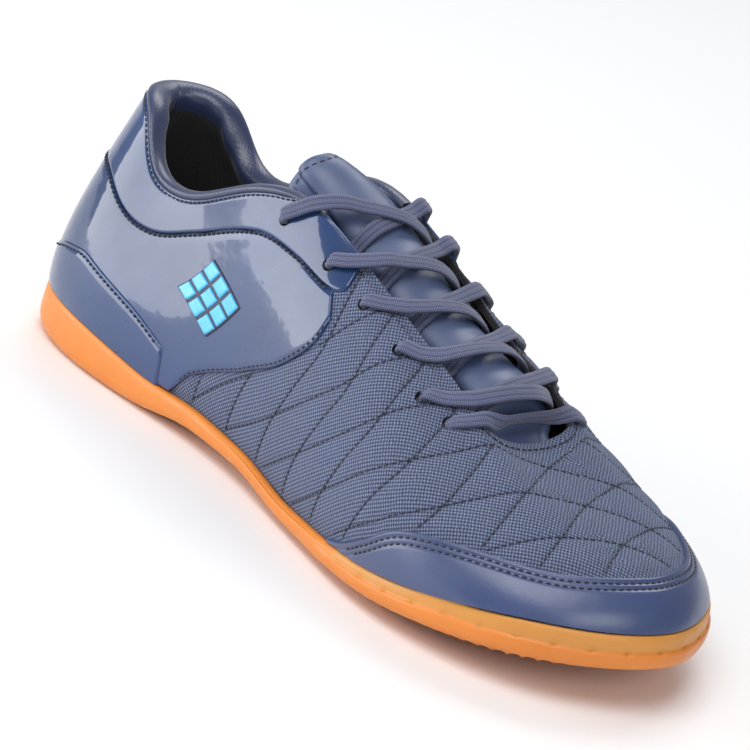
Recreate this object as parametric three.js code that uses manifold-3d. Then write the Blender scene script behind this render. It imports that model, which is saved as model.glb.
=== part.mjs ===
// Low indoor court shoe for the right foot, standing on its sole.
// Millimetres, +Z up, +X towards the toe, +Y towards the other foot.
// The origin lies on the floor under the middle of the heel.
import * as THREE from 'three';
import Module from 'manifold-3d';

const wasm = await Module();
wasm.setup();

// Sizes of the whole shoe
const LENGTH = 270;
const BALL_WIDTH = 98;
const COLLAR_HEIGHT = 81;
const SIDE_HEIGHT = 16;
const HEEL_SEAT = 34;
const TOE_SPRING = 12;
const ARCH_RISE = 3;

// Sizes of the pieces
const HEEL_THICKNESS = 10.5;
const BALL_THICKNESS = 6;
const LIP_WIDTH = 3.4;
const BAND_DEPTH = 0.8;
const TREAD_EDGE = 5;
const GROOVE_DEPTH = 1.6;
const GROOVE_WIDTH = 2.2;
const UPPER_WALL = 2;
const OVERLAY_WALL = 1;
const LINING_PAD = 4.5;
const INSOLE_THICKNESS = 3;
const TONGUE_THICKNESS = 3;
const TONGUE_RISE = 7;
const TONGUE_SAG = 4;
const TONGUE_LEAN = 6;
const LACE_WIDTH = 6;
const LACE_THICKNESS = 1.2;
const EYELET_HOLE = 4.4;
const BADGE_SIZE = 24;
const BADGE_STRETCH = 1.25;
const CLEAR = 0.3;
const SKIN_GAP = 0.4;
const STEEP_SPAN = 25;
const FLANK_LENGTH = 60;

// Footprint of the sole: place along the length, middle line and half width over the ball width
const PLAN = [
  { at: 0.000, middle: -0.010, half: 0.000 },
  { at: 0.018, middle: -0.022, half: 0.215 },
  { at: 0.072, middle: -0.026, half: 0.328 },
  { at: 0.165, middle: -0.024, half: 0.365 },
  { at: 0.290, middle: -0.026, half: 0.332 },
  { at: 0.415, middle: -0.038, half: 0.302 },
  { at: 0.535, middle: -0.034, half: 0.345 },
  { at: 0.650, middle: -0.006, half: 0.430 },
  { at: 0.750, middle: 0.028, half: 0.494 },
  { at: 0.845, middle: 0.062, half: 0.486 },
  { at: 0.925, middle: 0.064, half: 0.380 },
  { at: 0.978, middle: 0.062, half: 0.202 },
  { at: 1.000, middle: 0.070, half: 0.000 },
];

// Top edge of collar and throat: place, middle line, half width, height on the outer and inner side
const TOPLINE = [
  { at: 0.034, middle: 0.006, half: 0.000, outer: 1.010, inner: 1.010 },
  { at: 0.050, middle: 0.008, half: 0.098, outer: 1.005, inner: 1.012 },
  { at: 0.091, middle: 0.008, half: 0.166, outer: 0.955, inner: 0.970 },
  { at: 0.140, middle: 0.002, half: 0.198, outer: 0.806, inner: 0.818 },
  { at: 0.217, middle: 0.000, half: 0.206, outer: 0.815, inner: 0.830 },
  { at: 0.300, middle: 0.000, half: 0.197, outer: 0.968, inner: 0.990 },
  { at: 0.385, middle: 0.005, half: 0.168, outer: 1.035, inner: 1.065 },
  { at: 0.456, middle: 0.026, half: 0.164, outer: 0.975, inner: 0.990 },
  { at: 0.523, middle: 0.034, half: 0.170, outer: 0.907, inner: 0.910 },
  { at: 0.600, middle: 0.047, half: 0.170, outer: 0.817, inner: 0.803 },
  { at: 0.678, middle: 0.063, half: 0.190, outer: 0.735, inner: 0.712 },
  { at: 0.726, middle: 0.055, half: 0.155, outer: 0.656, inner: 0.643 },
  { at: 0.732, middle: 0.048, half: 0.000, outer: 0.605, inner: 0.605 },
];

// Wall between sole and top edge, at the same places, over the ball width:
// rise and bulge leave the sole, reach and drop meet the top edge.
// rim and widest are heights on the side of the sole over its height at the heel.
const WALL = [
  { rise: 0.230, bulge: 0.060, reach: 0.057, drop: 0.198, rim: 1.00, widest: 0.40 },
  { rise: 0.200, bulge: 0.062, reach: 0.060, drop: 0.204, rim: 0.99, widest: 0.39 },
  { rise: 0.188, bulge: 0.050, reach: 0.063, drop: 0.188, rim: 0.95, widest: 0.33 },
  { rise: 0.176, bulge: 0.032, reach: 0.079, drop: 0.165, rim: 0.87, widest: 0.28 },
  { rise: 0.190, bulge: 0.026, reach: 0.087, drop: 0.170, rim: 0.69, widest: 0.27 },
  { rise: 0.222, bulge: 0.042, reach: 0.101, drop: 0.195, rim: 0.52, widest: 0.24 },
  { rise: 0.264, bulge: 0.062, reach: 0.132, drop: 0.177, rim: 0.53, widest: 0.30 },
  { rise: 0.285, bulge: 0.068, reach: 0.195, drop: 0.160, rim: 0.66, widest: 0.35 },
  { rise: 0.265, bulge: 0.073, reach: 0.252, drop: 0.170, rim: 0.76, widest: 0.36 },
  { rise: 0.215, bulge: 0.084, reach: 0.278, drop: 0.195, rim: 0.86, widest: 0.39 },
  { rise: 0.182, bulge: 0.070, reach: 0.272, drop: 0.180, rim: 0.94, widest: 0.38 },
  { rise: 0.210, bulge: 0.055, reach: 0.280, drop: 0.120, rim: 0.90, widest: 0.32 },
  { rise: 0.240, bulge: 0.048, reach: 0.320, drop: 0.090, rim: 0.88, widest: 0.29 },
];

// Stations run from the heel along the outer side to the toe and back along the inner side
const TOE = PLAN.length - 1;
const AROUND = 2 * TOE;
const COLUMNS = 3 * AROUND;

// Edges of the overlays: station against share of the wall's height, outer side
const TOE_GUARD_TOP = [
  [7.0, 0.05], [7.3, 0.08], [7.75, 0.155], [8.3, 0.26], [8.9, 0.33], [9.8, 0.39], [10.8, 0.385], [12.0, 0.37],
];
const QUARTER_FOOT = [[4.1, 0.00], [4.4, 0.18], [5.2, 0.33], [5.8, 0.42], [6.4, 0.56], [6.8, 0.72]];
const COLLAR_SEAM = [
  [0.0, 0.65], [1.5, 0.655], [2.55, 0.67], [3.4, 0.715], [4.1, 0.79], [5.2, 0.81],
  [5.9, 0.765], [6.5, 0.745], [6.95, 0.80], [7.45, 1.00],
];
const COUNTER_TOP = [[0.0, 0.22], [1.2, 0.25], [2.0, 0.33], [2.65, 0.385], [3.5, 0.33], [4.3, 0.15]];

// Lace holes from the top row down: station along the throat on the outer and the inner side
const EYELETS = [
  { outer: 5.80, inner: 6.60 },
  { outer: 7.20, inner: 7.40 },
  { outer: 8.10, inner: 8.30 },
  { outer: 9.00, inner: 9.05 },
  { outer: 9.85, inner: 9.85 },
  { outer: 10.70, inner: 10.70 },
];
const EYELET_EDGE = 7.5;

function smooth(value) {
  const t = Math.min(Math.max(value, 0), 1);
  return t * t * (3 - 2 * t);
}

// A closed smooth curve through one value for each station
function closedCurve(outer, inner = outer) {
  const values = outer.concat(inner.slice(1, -1).reverse());
  const n = values.length;
  let c = values.slice();
  for (let pass = 0; pass < 60; pass++) {
    c = c.map((_, i) => (6 * values[i] - c[(i + 1) % n] - c[(i + n - 1) % n]) / 4);
  }
  return (station) => {
    const q = ((station % n) + n) % n;
    const i = Math.floor(q);
    const t = q - i;
    const [a, b, d, e] = [-1, 0, 1, 2].map((k) => c[(i + k + n) % n]);
    const early = (1 - t) ** 3 * a + (3 * t ** 3 - 6 * t ** 2 + 4) * b;
    const late = (-3 * t ** 3 + 3 * t ** 2 + 3 * t + 1) * d + t ** 3 * e;
    return (early + late) / 6;
  };
}

// A smooth edge through a short list of pairs, the same on both sides of the shoe
function edgeCurve(pairs) {
  const slopes = pairs.map((_, i) => {
    const [from, to] = [pairs[Math.max(i - 1, 0)], pairs[Math.min(i + 1, pairs.length - 1)]];
    return (to[1] - from[1]) / (to[0] - from[0]);
  });
  return (station) => {
    const turned = ((station % AROUND) + AROUND) % AROUND;
    const q = Math.min(turned, AROUND - turned);
    const i = pairs.findIndex((pair) => pair[0] >= q);
    if (i < 0) return pairs[pairs.length - 1][1];
    if (i === 0) return pairs[0][1];
    const [from, to] = [pairs[i - 1], pairs[i]];
    const width = to[0] - from[0];
    const t = (q - from[0]) / width;
    const start = (1 + 2 * t) * (1 - t) ** 2 * from[1] + t * (1 - t) ** 2 * width * slopes[i - 1];
    return start + t * t * (3 - 2 * t) * to[1] - t * t * (1 - t) * width * slopes[i];
  };
}

const column = (table, name, size) => table.map((row) => row[name] * size);
const sides = (table, sign) => table.map((row) => (row.middle + sign * row.half) * BALL_WIDTH);

const soleX = closedCurve(PLAN.map((row) => row.at * LENGTH - HEEL_SEAT));
const soleY = closedCurve(sides(PLAN, -1), sides(PLAN, 1));
const topX = closedCurve(TOPLINE.map((row) => row.at * LENGTH - HEEL_SEAT));
const topY = closedCurve(sides(TOPLINE, -1), sides(TOPLINE, 1));
const topZ = closedCurve(column(TOPLINE, 'outer', COLLAR_HEIGHT), column(TOPLINE, 'inner', COLLAR_HEIGHT));
const rise = closedCurve(column(WALL, 'rise', BALL_WIDTH));
const bulge = closedCurve(column(WALL, 'bulge', BALL_WIDTH));
const reach = closedCurve(column(WALL, 'reach', BALL_WIDTH));
const drop = closedCurve(column(WALL, 'drop', BALL_WIDTH));
const rimHeight = closedCurve(column(WALL, 'rim', SIDE_HEIGHT));
const widestHeight = closedCurve(column(WALL, 'widest', SIDE_HEIGHT));

const share = (x) => (x + HEEL_SEAT) / LENGTH;

const toeLift = (s) => TOE_SPRING * Math.max((s - 0.64) / 0.36, 0) ** 1.4;

// Height of the tread over the floor: arch under the waist, spring under the toe
function treadHeight(x) {
  const s = share(x);
  return toeLift(s) + ARCH_RISE * smooth((s - 0.25) / 0.12) * (1 - smooth((s - 0.44) / 0.12));
}

function trayHeight(x) {
  const s = share(x);
  const blend = 1 - smooth((s - 0.15) / 0.5);
  return THREE.MathUtils.lerp(BALL_THICKNESS, HEEL_THICKNESS, blend) + toeLift(s);
}

// Point on the sole's outline, moved inwards by inset, with the outward direction
function outline(q, inset = 0) {
  const step = 0.001;
  const dx = soleX(q + step) - soleX(q - step);
  const dy = soleY(q + step) - soleY(q - step);
  const size = Math.hypot(dx, dy);
  const out = new THREE.Vector3(dy / size, -dx / size, 0);
  const point = new THREE.Vector3(soleX(q), soleY(q), 0).addScaledVector(out, -inset);
  return { point, out };
}

// Outside of the upper: station q around the shoe, v from the sole (0) to the top edge (1)
function shellPoint(q, v) {
  const { point: foot, out } = outline(q, LIP_WIDTH);
  foot.z = trayHeight(foot.x) + CLEAR;
  const top = new THREE.Vector3(topX(q), topY(q), topZ(q));
  const away = new THREE.Vector3(foot.x - top.x, foot.y - top.y, 0);
  const span = Math.max(away.length(), 1e-6);
  const blend = Math.min(span / STEEP_SPAN, 1);
  away.multiplyScalar(blend / span).addScaledVector(out, 1 - blend).normalize();
  const low = foot.clone().addScaledVector(out, bulge(q));
  low.z += rise(q);
  const high = top.clone().addScaledVector(away, reach(q));
  high.z -= drop(q);
  return new THREE.CubicBezierCurve3(foot, low, high, top).getPoint(v);
}

function shellNormal(q, v) {
  const step = 0.002;
  const low = Math.max(v - step, 0);
  const high = Math.min(v + step, 1);
  const along = shellPoint(q + step, v).sub(shellPoint(q - step, v));
  const up = shellPoint(q, high).sub(shellPoint(q, low));
  return along.cross(up).normalize();
}

function skin(q, v, off = 0) {
  const point = shellPoint(q, v);
  return off === 0 ? point : point.addScaledVector(shellNormal(q, v), off);
}

// Share of the wall at which the shell stands a given height over the sole's rim
function shareAtRim(q, above) {
  let low = 0;
  let high = 0.5;
  for (let pass = 0; pass < 24; pass++) {
    const mid = (low + high) / 2;
    const point = shellPoint(q, mid);
    const rim = treadHeight(point.x) + rimHeight(q) + above;
    if (point.z < rim) low = mid;
    else high = mid;
  }
  return (low + high) / 2;
}

// Length of wall that one unit of v covers, near the top edge
function wallPerShare(q) {
  return shellPoint(q, 1).distanceTo(shellPoint(q, 0.85)) / 0.15;
}

const range = (count, from, to) =>
  Array.from({ length: count + 1 }, (_, i) => THREE.MathUtils.lerp(from, to, i / count));

function geometryFrom(points, faces) {
  const geometry = new THREE.BufferGeometry();
  geometry.setAttribute('position', new THREE.Float32BufferAttribute(points.flatMap((p) => p.toArray()), 3));
  geometry.setIndex(faces.flat());
  geometry.computeVertexNormals();
  return geometry;
}

// Closed sheet with a thickness: every section holds as many outside as inside points.
// A closed sheet joins its last section to its first one.
function sheet(sections, closed = false) {
  const across = sections[0].outside.length;
  const count = sections.length;
  const points = sections.flatMap((section) => [...section.outside, ...section.inside]);
  const faces = [];
  const id = (i, j, inner) => (i % count) * across * 2 + (inner ? across : 0) + j;
  const quad = (a, b, c, d) => faces.push([a, b, c], [a, c, d]);
  for (let i = 0; i < (closed ? count : count - 1); i++) {
    for (let j = 0; j < across - 1; j++) {
      quad(id(i, j), id(i + 1, j), id(i + 1, j + 1), id(i, j + 1));
      quad(id(i, j, 1), id(i, j + 1, 1), id(i + 1, j + 1, 1), id(i + 1, j, 1));
    }
    const last = across - 1;
    quad(id(i, 0, 1), id(i + 1, 0, 1), id(i + 1, 0), id(i, 0));
    quad(id(i, last), id(i + 1, last), id(i + 1, last, 1), id(i, last, 1));
  }
  if (!closed) {
    for (let j = 0; j < across - 1; j++) {
      quad(id(0, j, 1), id(0, j), id(0, j + 1), id(0, j + 1, 1));
      const end = count - 1;
      quad(id(end, j), id(end, j, 1), id(end, j + 1, 1), id(end, j + 1));
    }
  }
  return geometryFrom(points, faces);
}

// Stations that pieces on the wall share with it, so that their facets run alongside
function stationsBetween(from, to) {
  const step = AROUND / COLUMNS;
  return range(Math.round((to - from) / step), from, to);
}

// Strip of the wall between two edges, from one offset to another
function overlay(from, to, foot, top, near, far, rows) {
  return sheet(stationsBetween(from, to).map((q) => {
    const shares = range(rows, foot(q), top(q));
    return {
      outside: shares.map((v) => skin(q, v, far)),
      inside: shares.map((v) => skin(q, v, near)),
    };
  }));
}

// Fills the ring that the sections end in, from the outer side across to the inner side
function capFaces(points, ring, inner, height) {
  const half = ring.length / 2;
  const rows = [];
  for (let k = 1; k < half; k++) {
    const [from, to] = [points[ring[k]], points[ring[ring.length - k]]];
    const row = [ring[k]];
    for (let j = 1; j < inner; j++) {
      const point = from.clone().lerp(to, j / inner);
      point.z = height(point.x);
      row.push(points.push(point) - 1);
    }
    row.push(ring[ring.length - k]);
    rows.push(row);
  }
  const faces = [];
  for (let j = 0; j < inner; j++) {
    faces.push([ring[0], rows[0][j], rows[0][j + 1]]);
    const end = rows[rows.length - 1];
    faces.push([ring[half], end[j + 1], end[j]]);
    for (let k = 0; k < rows.length - 1; k++) {
      faces.push([rows[k][j], rows[k + 1][j], rows[k + 1][j + 1]]);
      faces.push([rows[k][j], rows[k + 1][j + 1], rows[k][j + 1]]);
    }
  }
  return faces;
}

// A body whose sections are profiles from the bottom edge to the top edge, with both ends capped
function cappedBody(profiles, inner, bottomHeight, topHeight) {
  const rows = profiles[0].length;
  const points = profiles.flat();
  const count = profiles.length;
  const id = (i, j) => (i % count) * rows + j;
  const faces = [];
  for (let i = 0; i < count; i++) {
    for (let j = 0; j < rows - 1; j++) {
      faces.push([id(i, j), id(i + 1, j), id(i + 1, j + 1)]);
      faces.push([id(i, j), id(i + 1, j + 1), id(i, j + 1)]);
    }
  }
  const ring = (j) => profiles.map((_, i) => id(i, j));
  const bottom = capFaces(points, ring(0), inner, bottomHeight);
  const top = capFaces(points, ring(rows - 1), inner, topHeight);
  faces.push(...bottom.map(([a, b, c]) => [a, c, b]));
  faces.push(...top);
  return geometryFrom(points, faces);
}

// Solids for cutting and joining
function toSolid(geometry) {
  const vertProperties = new Float32Array(geometry.attributes.position.array);
  const triVerts = new Uint32Array(geometry.index.array);
  const mesh = new wasm.Mesh({ numProp: 3, vertProperties, triVerts });
  return new wasm.Manifold(mesh);
}

function toGeometry(solid) {
  const mesh = solid.getMesh();
  const geometry = new THREE.BufferGeometry();
  const points = [];
  for (let i = 0; i < mesh.vertProperties.length; i += mesh.numProp) {
    points.push(...mesh.vertProperties.slice(i, i + 3));
  }
  geometry.setAttribute('position', new THREE.Float32BufferAttribute(points, 3));
  geometry.setIndex(Array.from(mesh.triVerts));
  geometry.computeVertexNormals();
  return geometry;
}

// Sole: side wall with a stepped band round the forefoot, lip, tray and grooved tread
const stations = range(COLUMNS, 0, AROUND).slice(0, COLUMNS);

function soleProfile(q) {
  const forefoot = smooth((Math.min(q, AROUND - q) - 6.6) / 1.2);
  const step = BAND_DEPTH * forefoot;
  const at = (inset, height) => {
    const { point } = outline(q, inset);
    point.z = treadHeight(point.x) + height;
    return point;
  };
  const widest = widestHeight(q);
  const rim = rimHeight(q);
  const band = THREE.MathUtils.lerp(widest, rim, 0.35);
  const v = shareAtRim(q, 0);
  const wall = (part) => skin(q, v * part, CLEAR);
  const lip = wall(1);
  lip.z = treadHeight(lip.x) + rim;
  const { point: tray } = outline(q, LIP_WIDTH - CLEAR);
  tray.z = trayHeight(tray.x);
  return [
    at(TREAD_EDGE, 0),
    at(0.4 * TREAD_EDGE, 0.25 * widest),
    at(0.1 * TREAD_EDGE, 0.62 * widest),
    at(0, widest),
    at(0.02 * TREAD_EDGE, band),
    at(0.02 * TREAD_EDGE + step, band + 0.3 * BAND_DEPTH),
    at(0.12 * TREAD_EDGE + step, rim - 0.9 * BAND_DEPTH),
    at(0.22 * TREAD_EDGE + step, rim),
    lip,
    wall(0.5),
    tray,
  ];
}

// A cutter that follows the tread along a path; a ring path closes on itself
function groove(path, ring = false, width = GROOVE_WIDTH) {
  const count = path.length;
  const sections = path.map((point, i) => {
    const before = ring ? path[(i + count - 1) % count] : path[Math.max(i - 1, 0)];
    const after = ring ? path[(i + 1) % count] : path[Math.min(i + 1, count - 1)];
    const one = point.clone().sub(before);
    const two = after.clone().sub(point);
    const along = one.clone().normalize().add(two.clone().normalize()).normalize();
    const straight = two.length() > 0 ? two.normalize() : one.normalize();
    const spread = width / 2 / Math.max(along.dot(straight), 0.4);
    const aside = new THREE.Vector2(-along.y, along.x).multiplyScalar(spread);
    const at = (sign, deep) => {
      const spot = point.clone().addScaledVector(aside, sign);
      return new THREE.Vector3(spot.x, spot.y, treadHeight(spot.x) + (deep ? GROOVE_DEPTH : -3));
    };
    return { outside: [at(-1, true), at(1, true)], inside: [at(-1, false), at(1, false)] };
  });
  return toSolid(sheet(sections, ring));
}

function treadPoint(along, across) {
  const x = along * LENGTH - HEEL_SEAT;
  return new THREE.Vector2(x, across * BALL_WIDTH);
}

// Diamonds round the ball, ribs across the toe and the waist, chevrons under the heel
function treadGrooves() {
  const cuts = [];
  const ball = { along: 0.72, across: 0.02 };
  const diamondLong = 0.030;
  const diamondWide = 0.070;
  for (let k = 1; k <= 4; k++) {
    const [long, wide] = [diamondLong * k, diamondWide * k];
    cuts.push(groove([
      treadPoint(ball.along + long, ball.across),
      treadPoint(ball.along, ball.across + wide),
      treadPoint(ball.along - long, ball.across),
      treadPoint(ball.along, ball.across - wide),
    ], true));
  }
  for (const along of [0.885, 0.912, 0.939]) {
    const half = 0.60 * Math.sqrt(Math.max(1 - along, 0)) + 0.12;
    cuts.push(groove(range(4, -half, half).map((y) => treadPoint(along + 0.05 * y * y, y + 0.06))));
  }
  for (const along of [0.44, 0.475, 0.51, 0.545]) {
    for (const side of [-1, 1]) {
      cuts.push(groove([treadPoint(along + 0.02, side * 0.09 - 0.03), treadPoint(along, side * 0.24 - 0.03)]));
    }
  }
  for (const along of [0.055, 0.085, 0.172, 0.202, 0.232]) {
    cuts.push(groove([
      treadPoint(along + 0.02, -0.26),
      treadPoint(along, -0.022),
      treadPoint(along + 0.02, 0.21),
    ]));
  }
  return cuts;
}

function outsole() {
  const body = toSolid(cappedBody(stations.map(soleProfile), 4, treadHeight, trayHeight));
  return toGeometry(treadGrooves().reduce((solid, cut) => solid.subtract(cut), body));
}

// Holes for the lace, round the throat on both sides
const alongThroat = (row, side) => side < 0 ? EYELETS[row].outer : EYELETS[row].inner;

function eyeletStation(row, side) {
  return side < 0 ? alongThroat(row, side) : AROUND - alongThroat(row, side);
}

// Place on the wall at a distance square to its top edge
function besideEdge(q, distance) {
  const step = 0.01;
  const along = shellPoint(q + step, 1).sub(shellPoint(q - step, 1)).divideScalar(2 * step);
  const down = shellPoint(q, 1 - 4 * step).sub(shellPoint(q, 1)).divideScalar(4 * step);
  const turn = -down.dot(along) / along.lengthSq();
  const part = distance / down.addScaledVector(along, turn).length();
  return { q: q + turn * part, v: 1 - part };
}

function eyeletHole(row, side) {
  const { q, v } = besideEdge(eyeletStation(row, side), EYELET_EDGE);
  const depth = 4.5 * UPPER_WALL;
  const shape = new THREE.CylinderGeometry(EYELET_HOLE / 2, EYELET_HOLE / 2, depth, 8);
  shape.applyQuaternion(new THREE.Quaternion().setFromUnitVectors(
    new THREE.Vector3(0, 1, 0), shellNormal(q, v)));
  const centre = skin(q, v);
  shape.translate(centre.x, centre.y, centre.z);
  return weldedSolid(shape);
}

// A solid from a three.js shape, whose seam points are joined first
function weldedSolid(shape) {
  const position = shape.attributes.position;
  const found = new Map();
  const points = [];
  const map = [];
  for (let i = 0; i < position.count; i++) {
    const point = new THREE.Vector3().fromBufferAttribute(position, i);
    const key = point.toArray().map((value) => value.toFixed(4)).join();
    if (!found.has(key)) found.set(key, points.push(point) - 1);
    map.push(found.get(key));
  }
  const faces = [];
  for (let i = 0; i < shape.index.count; i += 3) {
    const [a, b, c] = [0, 1, 2].map((k) => map[shape.index.getX(i + k)]);
    if (a !== b && b !== c && a !== c) faces.push([a, b, c]);
  }
  return toSolid(geometryFrom(points, faces));
}

function punched(geometry, rows) {
  let solid = toSolid(geometry);
  for (const row of rows) {
    for (const side of [-1, 1]) solid = solid.subtract(eyeletHole(row, side));
  }
  return toGeometry(solid);
}

// Upper: one hollow shell, open at the collar, the throat and underneath
function upper() {
  const shares = [0, 0.08, 0.17, 0.27, 0.38, 0.5, 0.62, 0.74, 0.87, 1];
  const shell = sheet(stations.map((q) => ({
    outside: shares.map((v) => skin(q, v)),
    inside: shares.map((v) => skin(q, v, -UPPER_WALL)),
  })), true);
  return punched(shell, [0, 1, 2, 3, 4, 5]);
}

const overSole = (q) => shareAtRim(q, CLEAR + 0.1);
const halfGap = (q) => CLEAR / 2 / wallPerShare(q);

function toeGuard() {
  const top = edgeCurve(TOE_GUARD_TOP);
  return overlay(7, AROUND - 7, overSole, top, SKIN_GAP, SKIN_GAP + OVERLAY_WALL, 5);
}

const collarSeam = edgeCurve(COLLAR_SEAM);

function quarterPanel() {
  const foot = edgeCurve(QUARTER_FOOT);
  const low = (q) => Math.max(overSole(q), Math.min(foot(q), collarSeam(q) - 0.05));
  const high = (q) => collarSeam(q) - halfGap(q);
  const front = 6 + 2 / 3;
  return overlay(-front, front, low, high, SKIN_GAP, SKIN_GAP + OVERLAY_WALL, 7);
}

function collarPanel() {
  const low = (q) => collarSeam(q) + halfGap(q);
  const front = 7 + 1 / 3;
  const strip = overlay(-front, front, low, () => 1, SKIN_GAP, SKIN_GAP + OVERLAY_WALL, 4);
  return punched(strip, [0, 1]);
}

function heelCounter() {
  const near = 2 * SKIN_GAP + OVERLAY_WALL;
  return overlay(-4, 4, overSole, edgeCurve(COUNTER_TOP), near, near + OVERLAY_WALL, 4);
}

// Padded roll inside the collar, with the lining below it
function collarLining() {
  const front = 5;
  const shares = [0.34, 0.5, 0.64, 0.76, 0.86, 0.94, 1];
  const padding = [0.2, 0.25, 0.45, 0.8, 1, 1, 0.75];
  const near = -(UPPER_WALL + CLEAR);
  return sheet(stationsBetween(-front, front).map((q) => {
    const taper = 0.45 + 0.55 * smooth((front - Math.abs(q)) / 1.2);
    const rim = skin(q, 1, near - 0.05 * LINING_PAD);
    const crest = skin(q, 1, near - LINING_PAD * taper * 0.6);
    rim.z += 0.18 * LINING_PAD;
    crest.z += 0.22 * LINING_PAD;
    const inner = shares.map((v, i) => skin(q, v, near - LINING_PAD * taper * padding[i]));
    return { outside: [...shares.map((v) => skin(q, v, near)), rim], inside: [...inner, crest] };
  }));
}

// Surface that bridges the throat between its two edges: t runs from -1 to 1 across it,
// and beyond those values it follows the upper itself, square to its edge
function bridge(q, t) {
  const away = (Math.abs(t) - 1) * FLANK_LENGTH;
  const [left, right] = [q, AROUND - q];
  if (away >= 0) {
    const spot = besideEdge(t < 0 ? left : right, away);
    return shellPoint(spot.q, spot.v);
  }
  const [from, to] = [shellPoint(left, 1), shellPoint(right, 1)];
  const slope = (station) => {
    const spot = besideEdge(station, 2);
    return shellPoint(station, 1).sub(shellPoint(spot.q, spot.v)).normalize();
  };
  const handle = from.distanceTo(to) * 0.26;
  const low = from.clone().addScaledVector(slope(left), handle);
  const high = to.clone().addScaledVector(slope(right), handle);
  return new THREE.CubicBezierCurve3(from, low, high, to).getPoint((t + 1) / 2);
}

function bridgeNormal(q, t) {
  const step = 0.01;
  const along = bridge(q + step, t).sub(bridge(q - step, t));
  const across = bridge(q, t + step).sub(bridge(q, t - step));
  return along.cross(across).normalize();
}

function overThroat(q, t, off) {
  return bridge(q, t).addScaledVector(bridgeNormal(q, t), off);
}

// Tongue: starts under the throat's front edge and stands over the collar. In the throat
// it arches across, so its flanks lie deeper under the eyelets than its middle.
const tongueStart = UPPER_WALL + 2 * CLEAR + LACE_THICKNESS;

function tongueDrop(t, arch) {
  const across = Math.min(Math.abs(t), 1) ** 2;
  const arched = THREE.MathUtils.lerp(2.2 * LACE_THICKNESS, tongueStart + TONGUE_SAG, across);
  return THREE.MathUtils.lerp(tongueStart, arched, arch);
}

function tongue() {
  const across = [-1.16, -1.08, -1, -0.7, -0.35, 0, 0.35, 0.7, 1, 1.08, 1.16];
  const sections = [];
  const row = (place, thickness, arch) => sections.push({
    outside: across.map((t) => place(t, tongueDrop(t, arch))),
    inside: across.map((t) => place(t, tongueDrop(t, arch) + thickness)),
  });
  const inShell = (narrow, v) => (t, deep) => {
    const q = TOE + t * narrow;
    return skin(q, v, -deep);
  };
  row(inShell(0.75, 0.86), 0.7 * TONGUE_THICKNESS, 0);
  row(inShell(0.75, 0.93), 0.7 * TONGUE_THICKNESS, 0);
  for (const q of [11.2, 10.8, 10, 9.2, 8.4, 7.6, 6.9, 6.4]) {
    const flank = q > 11 ? 0.35 : q > 10.5 ? 0.7 : 1;
    const place = (t, deep) => {
      const beyond = Math.max(Math.abs(t) - 1, 0) * flank;
      const inside = Math.sign(t) * (Math.min(Math.abs(t), 1) + beyond);
      return overThroat(q, inside, -deep);
    };
    row(place, TONGUE_THICKNESS, smooth((11.3 - q) / 1.2));
  }
  // The free end narrows to a round tip and leans outwards
  const base = 6.4;
  const climb = overThroat(base, 0, 0).sub(overThroat(base + 0.6, 0, 0)).normalize();
  const tip = [[0.25, 0.95], [0.5, 0.88], [0.75, 0.79], [0.92, 0.66], [1, 0.48]];
  const far = TONGUE_RISE + overThroat(base, 0, 0).distanceTo(overThroat(5.8, 0, 0));
  for (const [part, narrow] of tip) {
    const place = (t, deep) => {
      const middle = overThroat(base, 0, -deep);
      const lift = climb.clone().multiplyScalar(far * part);
      lift.y -= TONGUE_LEAN * part ** 2;
      return overThroat(base, t, -deep).sub(middle).multiplyScalar(narrow).add(middle).add(lift);
    };
    row(place, TONGUE_THICKNESS * 1.2, 1);
  }
  return sheet(sections.reverse());
}

// Insole on the tray floor, inside the foot of the upper
function insole() {
  const inset = LIP_WIDTH + UPPER_WALL + 2 * CLEAR;
  const at = (q, height) => {
    const { point } = outline(q, inset);
    point.z = trayHeight(point.x) + height;
    return point;
  };
  const top = CLEAR + INSOLE_THICKNESS;
  const profiles = stations.filter((_, i) => i % 2 === 0).map((q) => [at(q, CLEAR), at(q, top)]);
  return cappedBody(profiles, 3, (x) => trayHeight(x) + CLEAR, (x) => trayHeight(x) + top);
}

// Flat lace along a route of stations, places across the throat and heights over the wall
function laceRun(route) {
  const half = LACE_WIDTH / 2;
  const spots = route.map(([q, t, off]) => ({
    point: overThroat(q, t, off + LACE_THICKNESS / 2),
    normal: bridgeNormal(q, t),
  }));
  return sheet(spots.map(({ point, normal }, i) => {
    const before = spots[Math.max(i - 1, 0)].point;
    const after = spots[Math.min(i + 1, spots.length - 1)].point;
    const along = after.clone().sub(before).normalize();
    const aside = along.clone().cross(normal).normalize();
    const face = aside.clone().cross(along).normalize();
    const at = (wide, thick) => point.clone().addScaledVector(aside, wide).addScaledVector(face, thick);
    const thick = LACE_THICKNESS / 2;
    return {
      outside: [at(half, thick), at(-half, thick)],
      inside: [at(half, -thick), at(-half, -thick)],
    };
  }));
}

const eyeletPlace = 1 + EYELET_EDGE / FLANK_LENGTH;
const restOver = (row) => 2 * CLEAR + (row < 2 ? SKIN_GAP + OVERLAY_WALL : 0);

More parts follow.
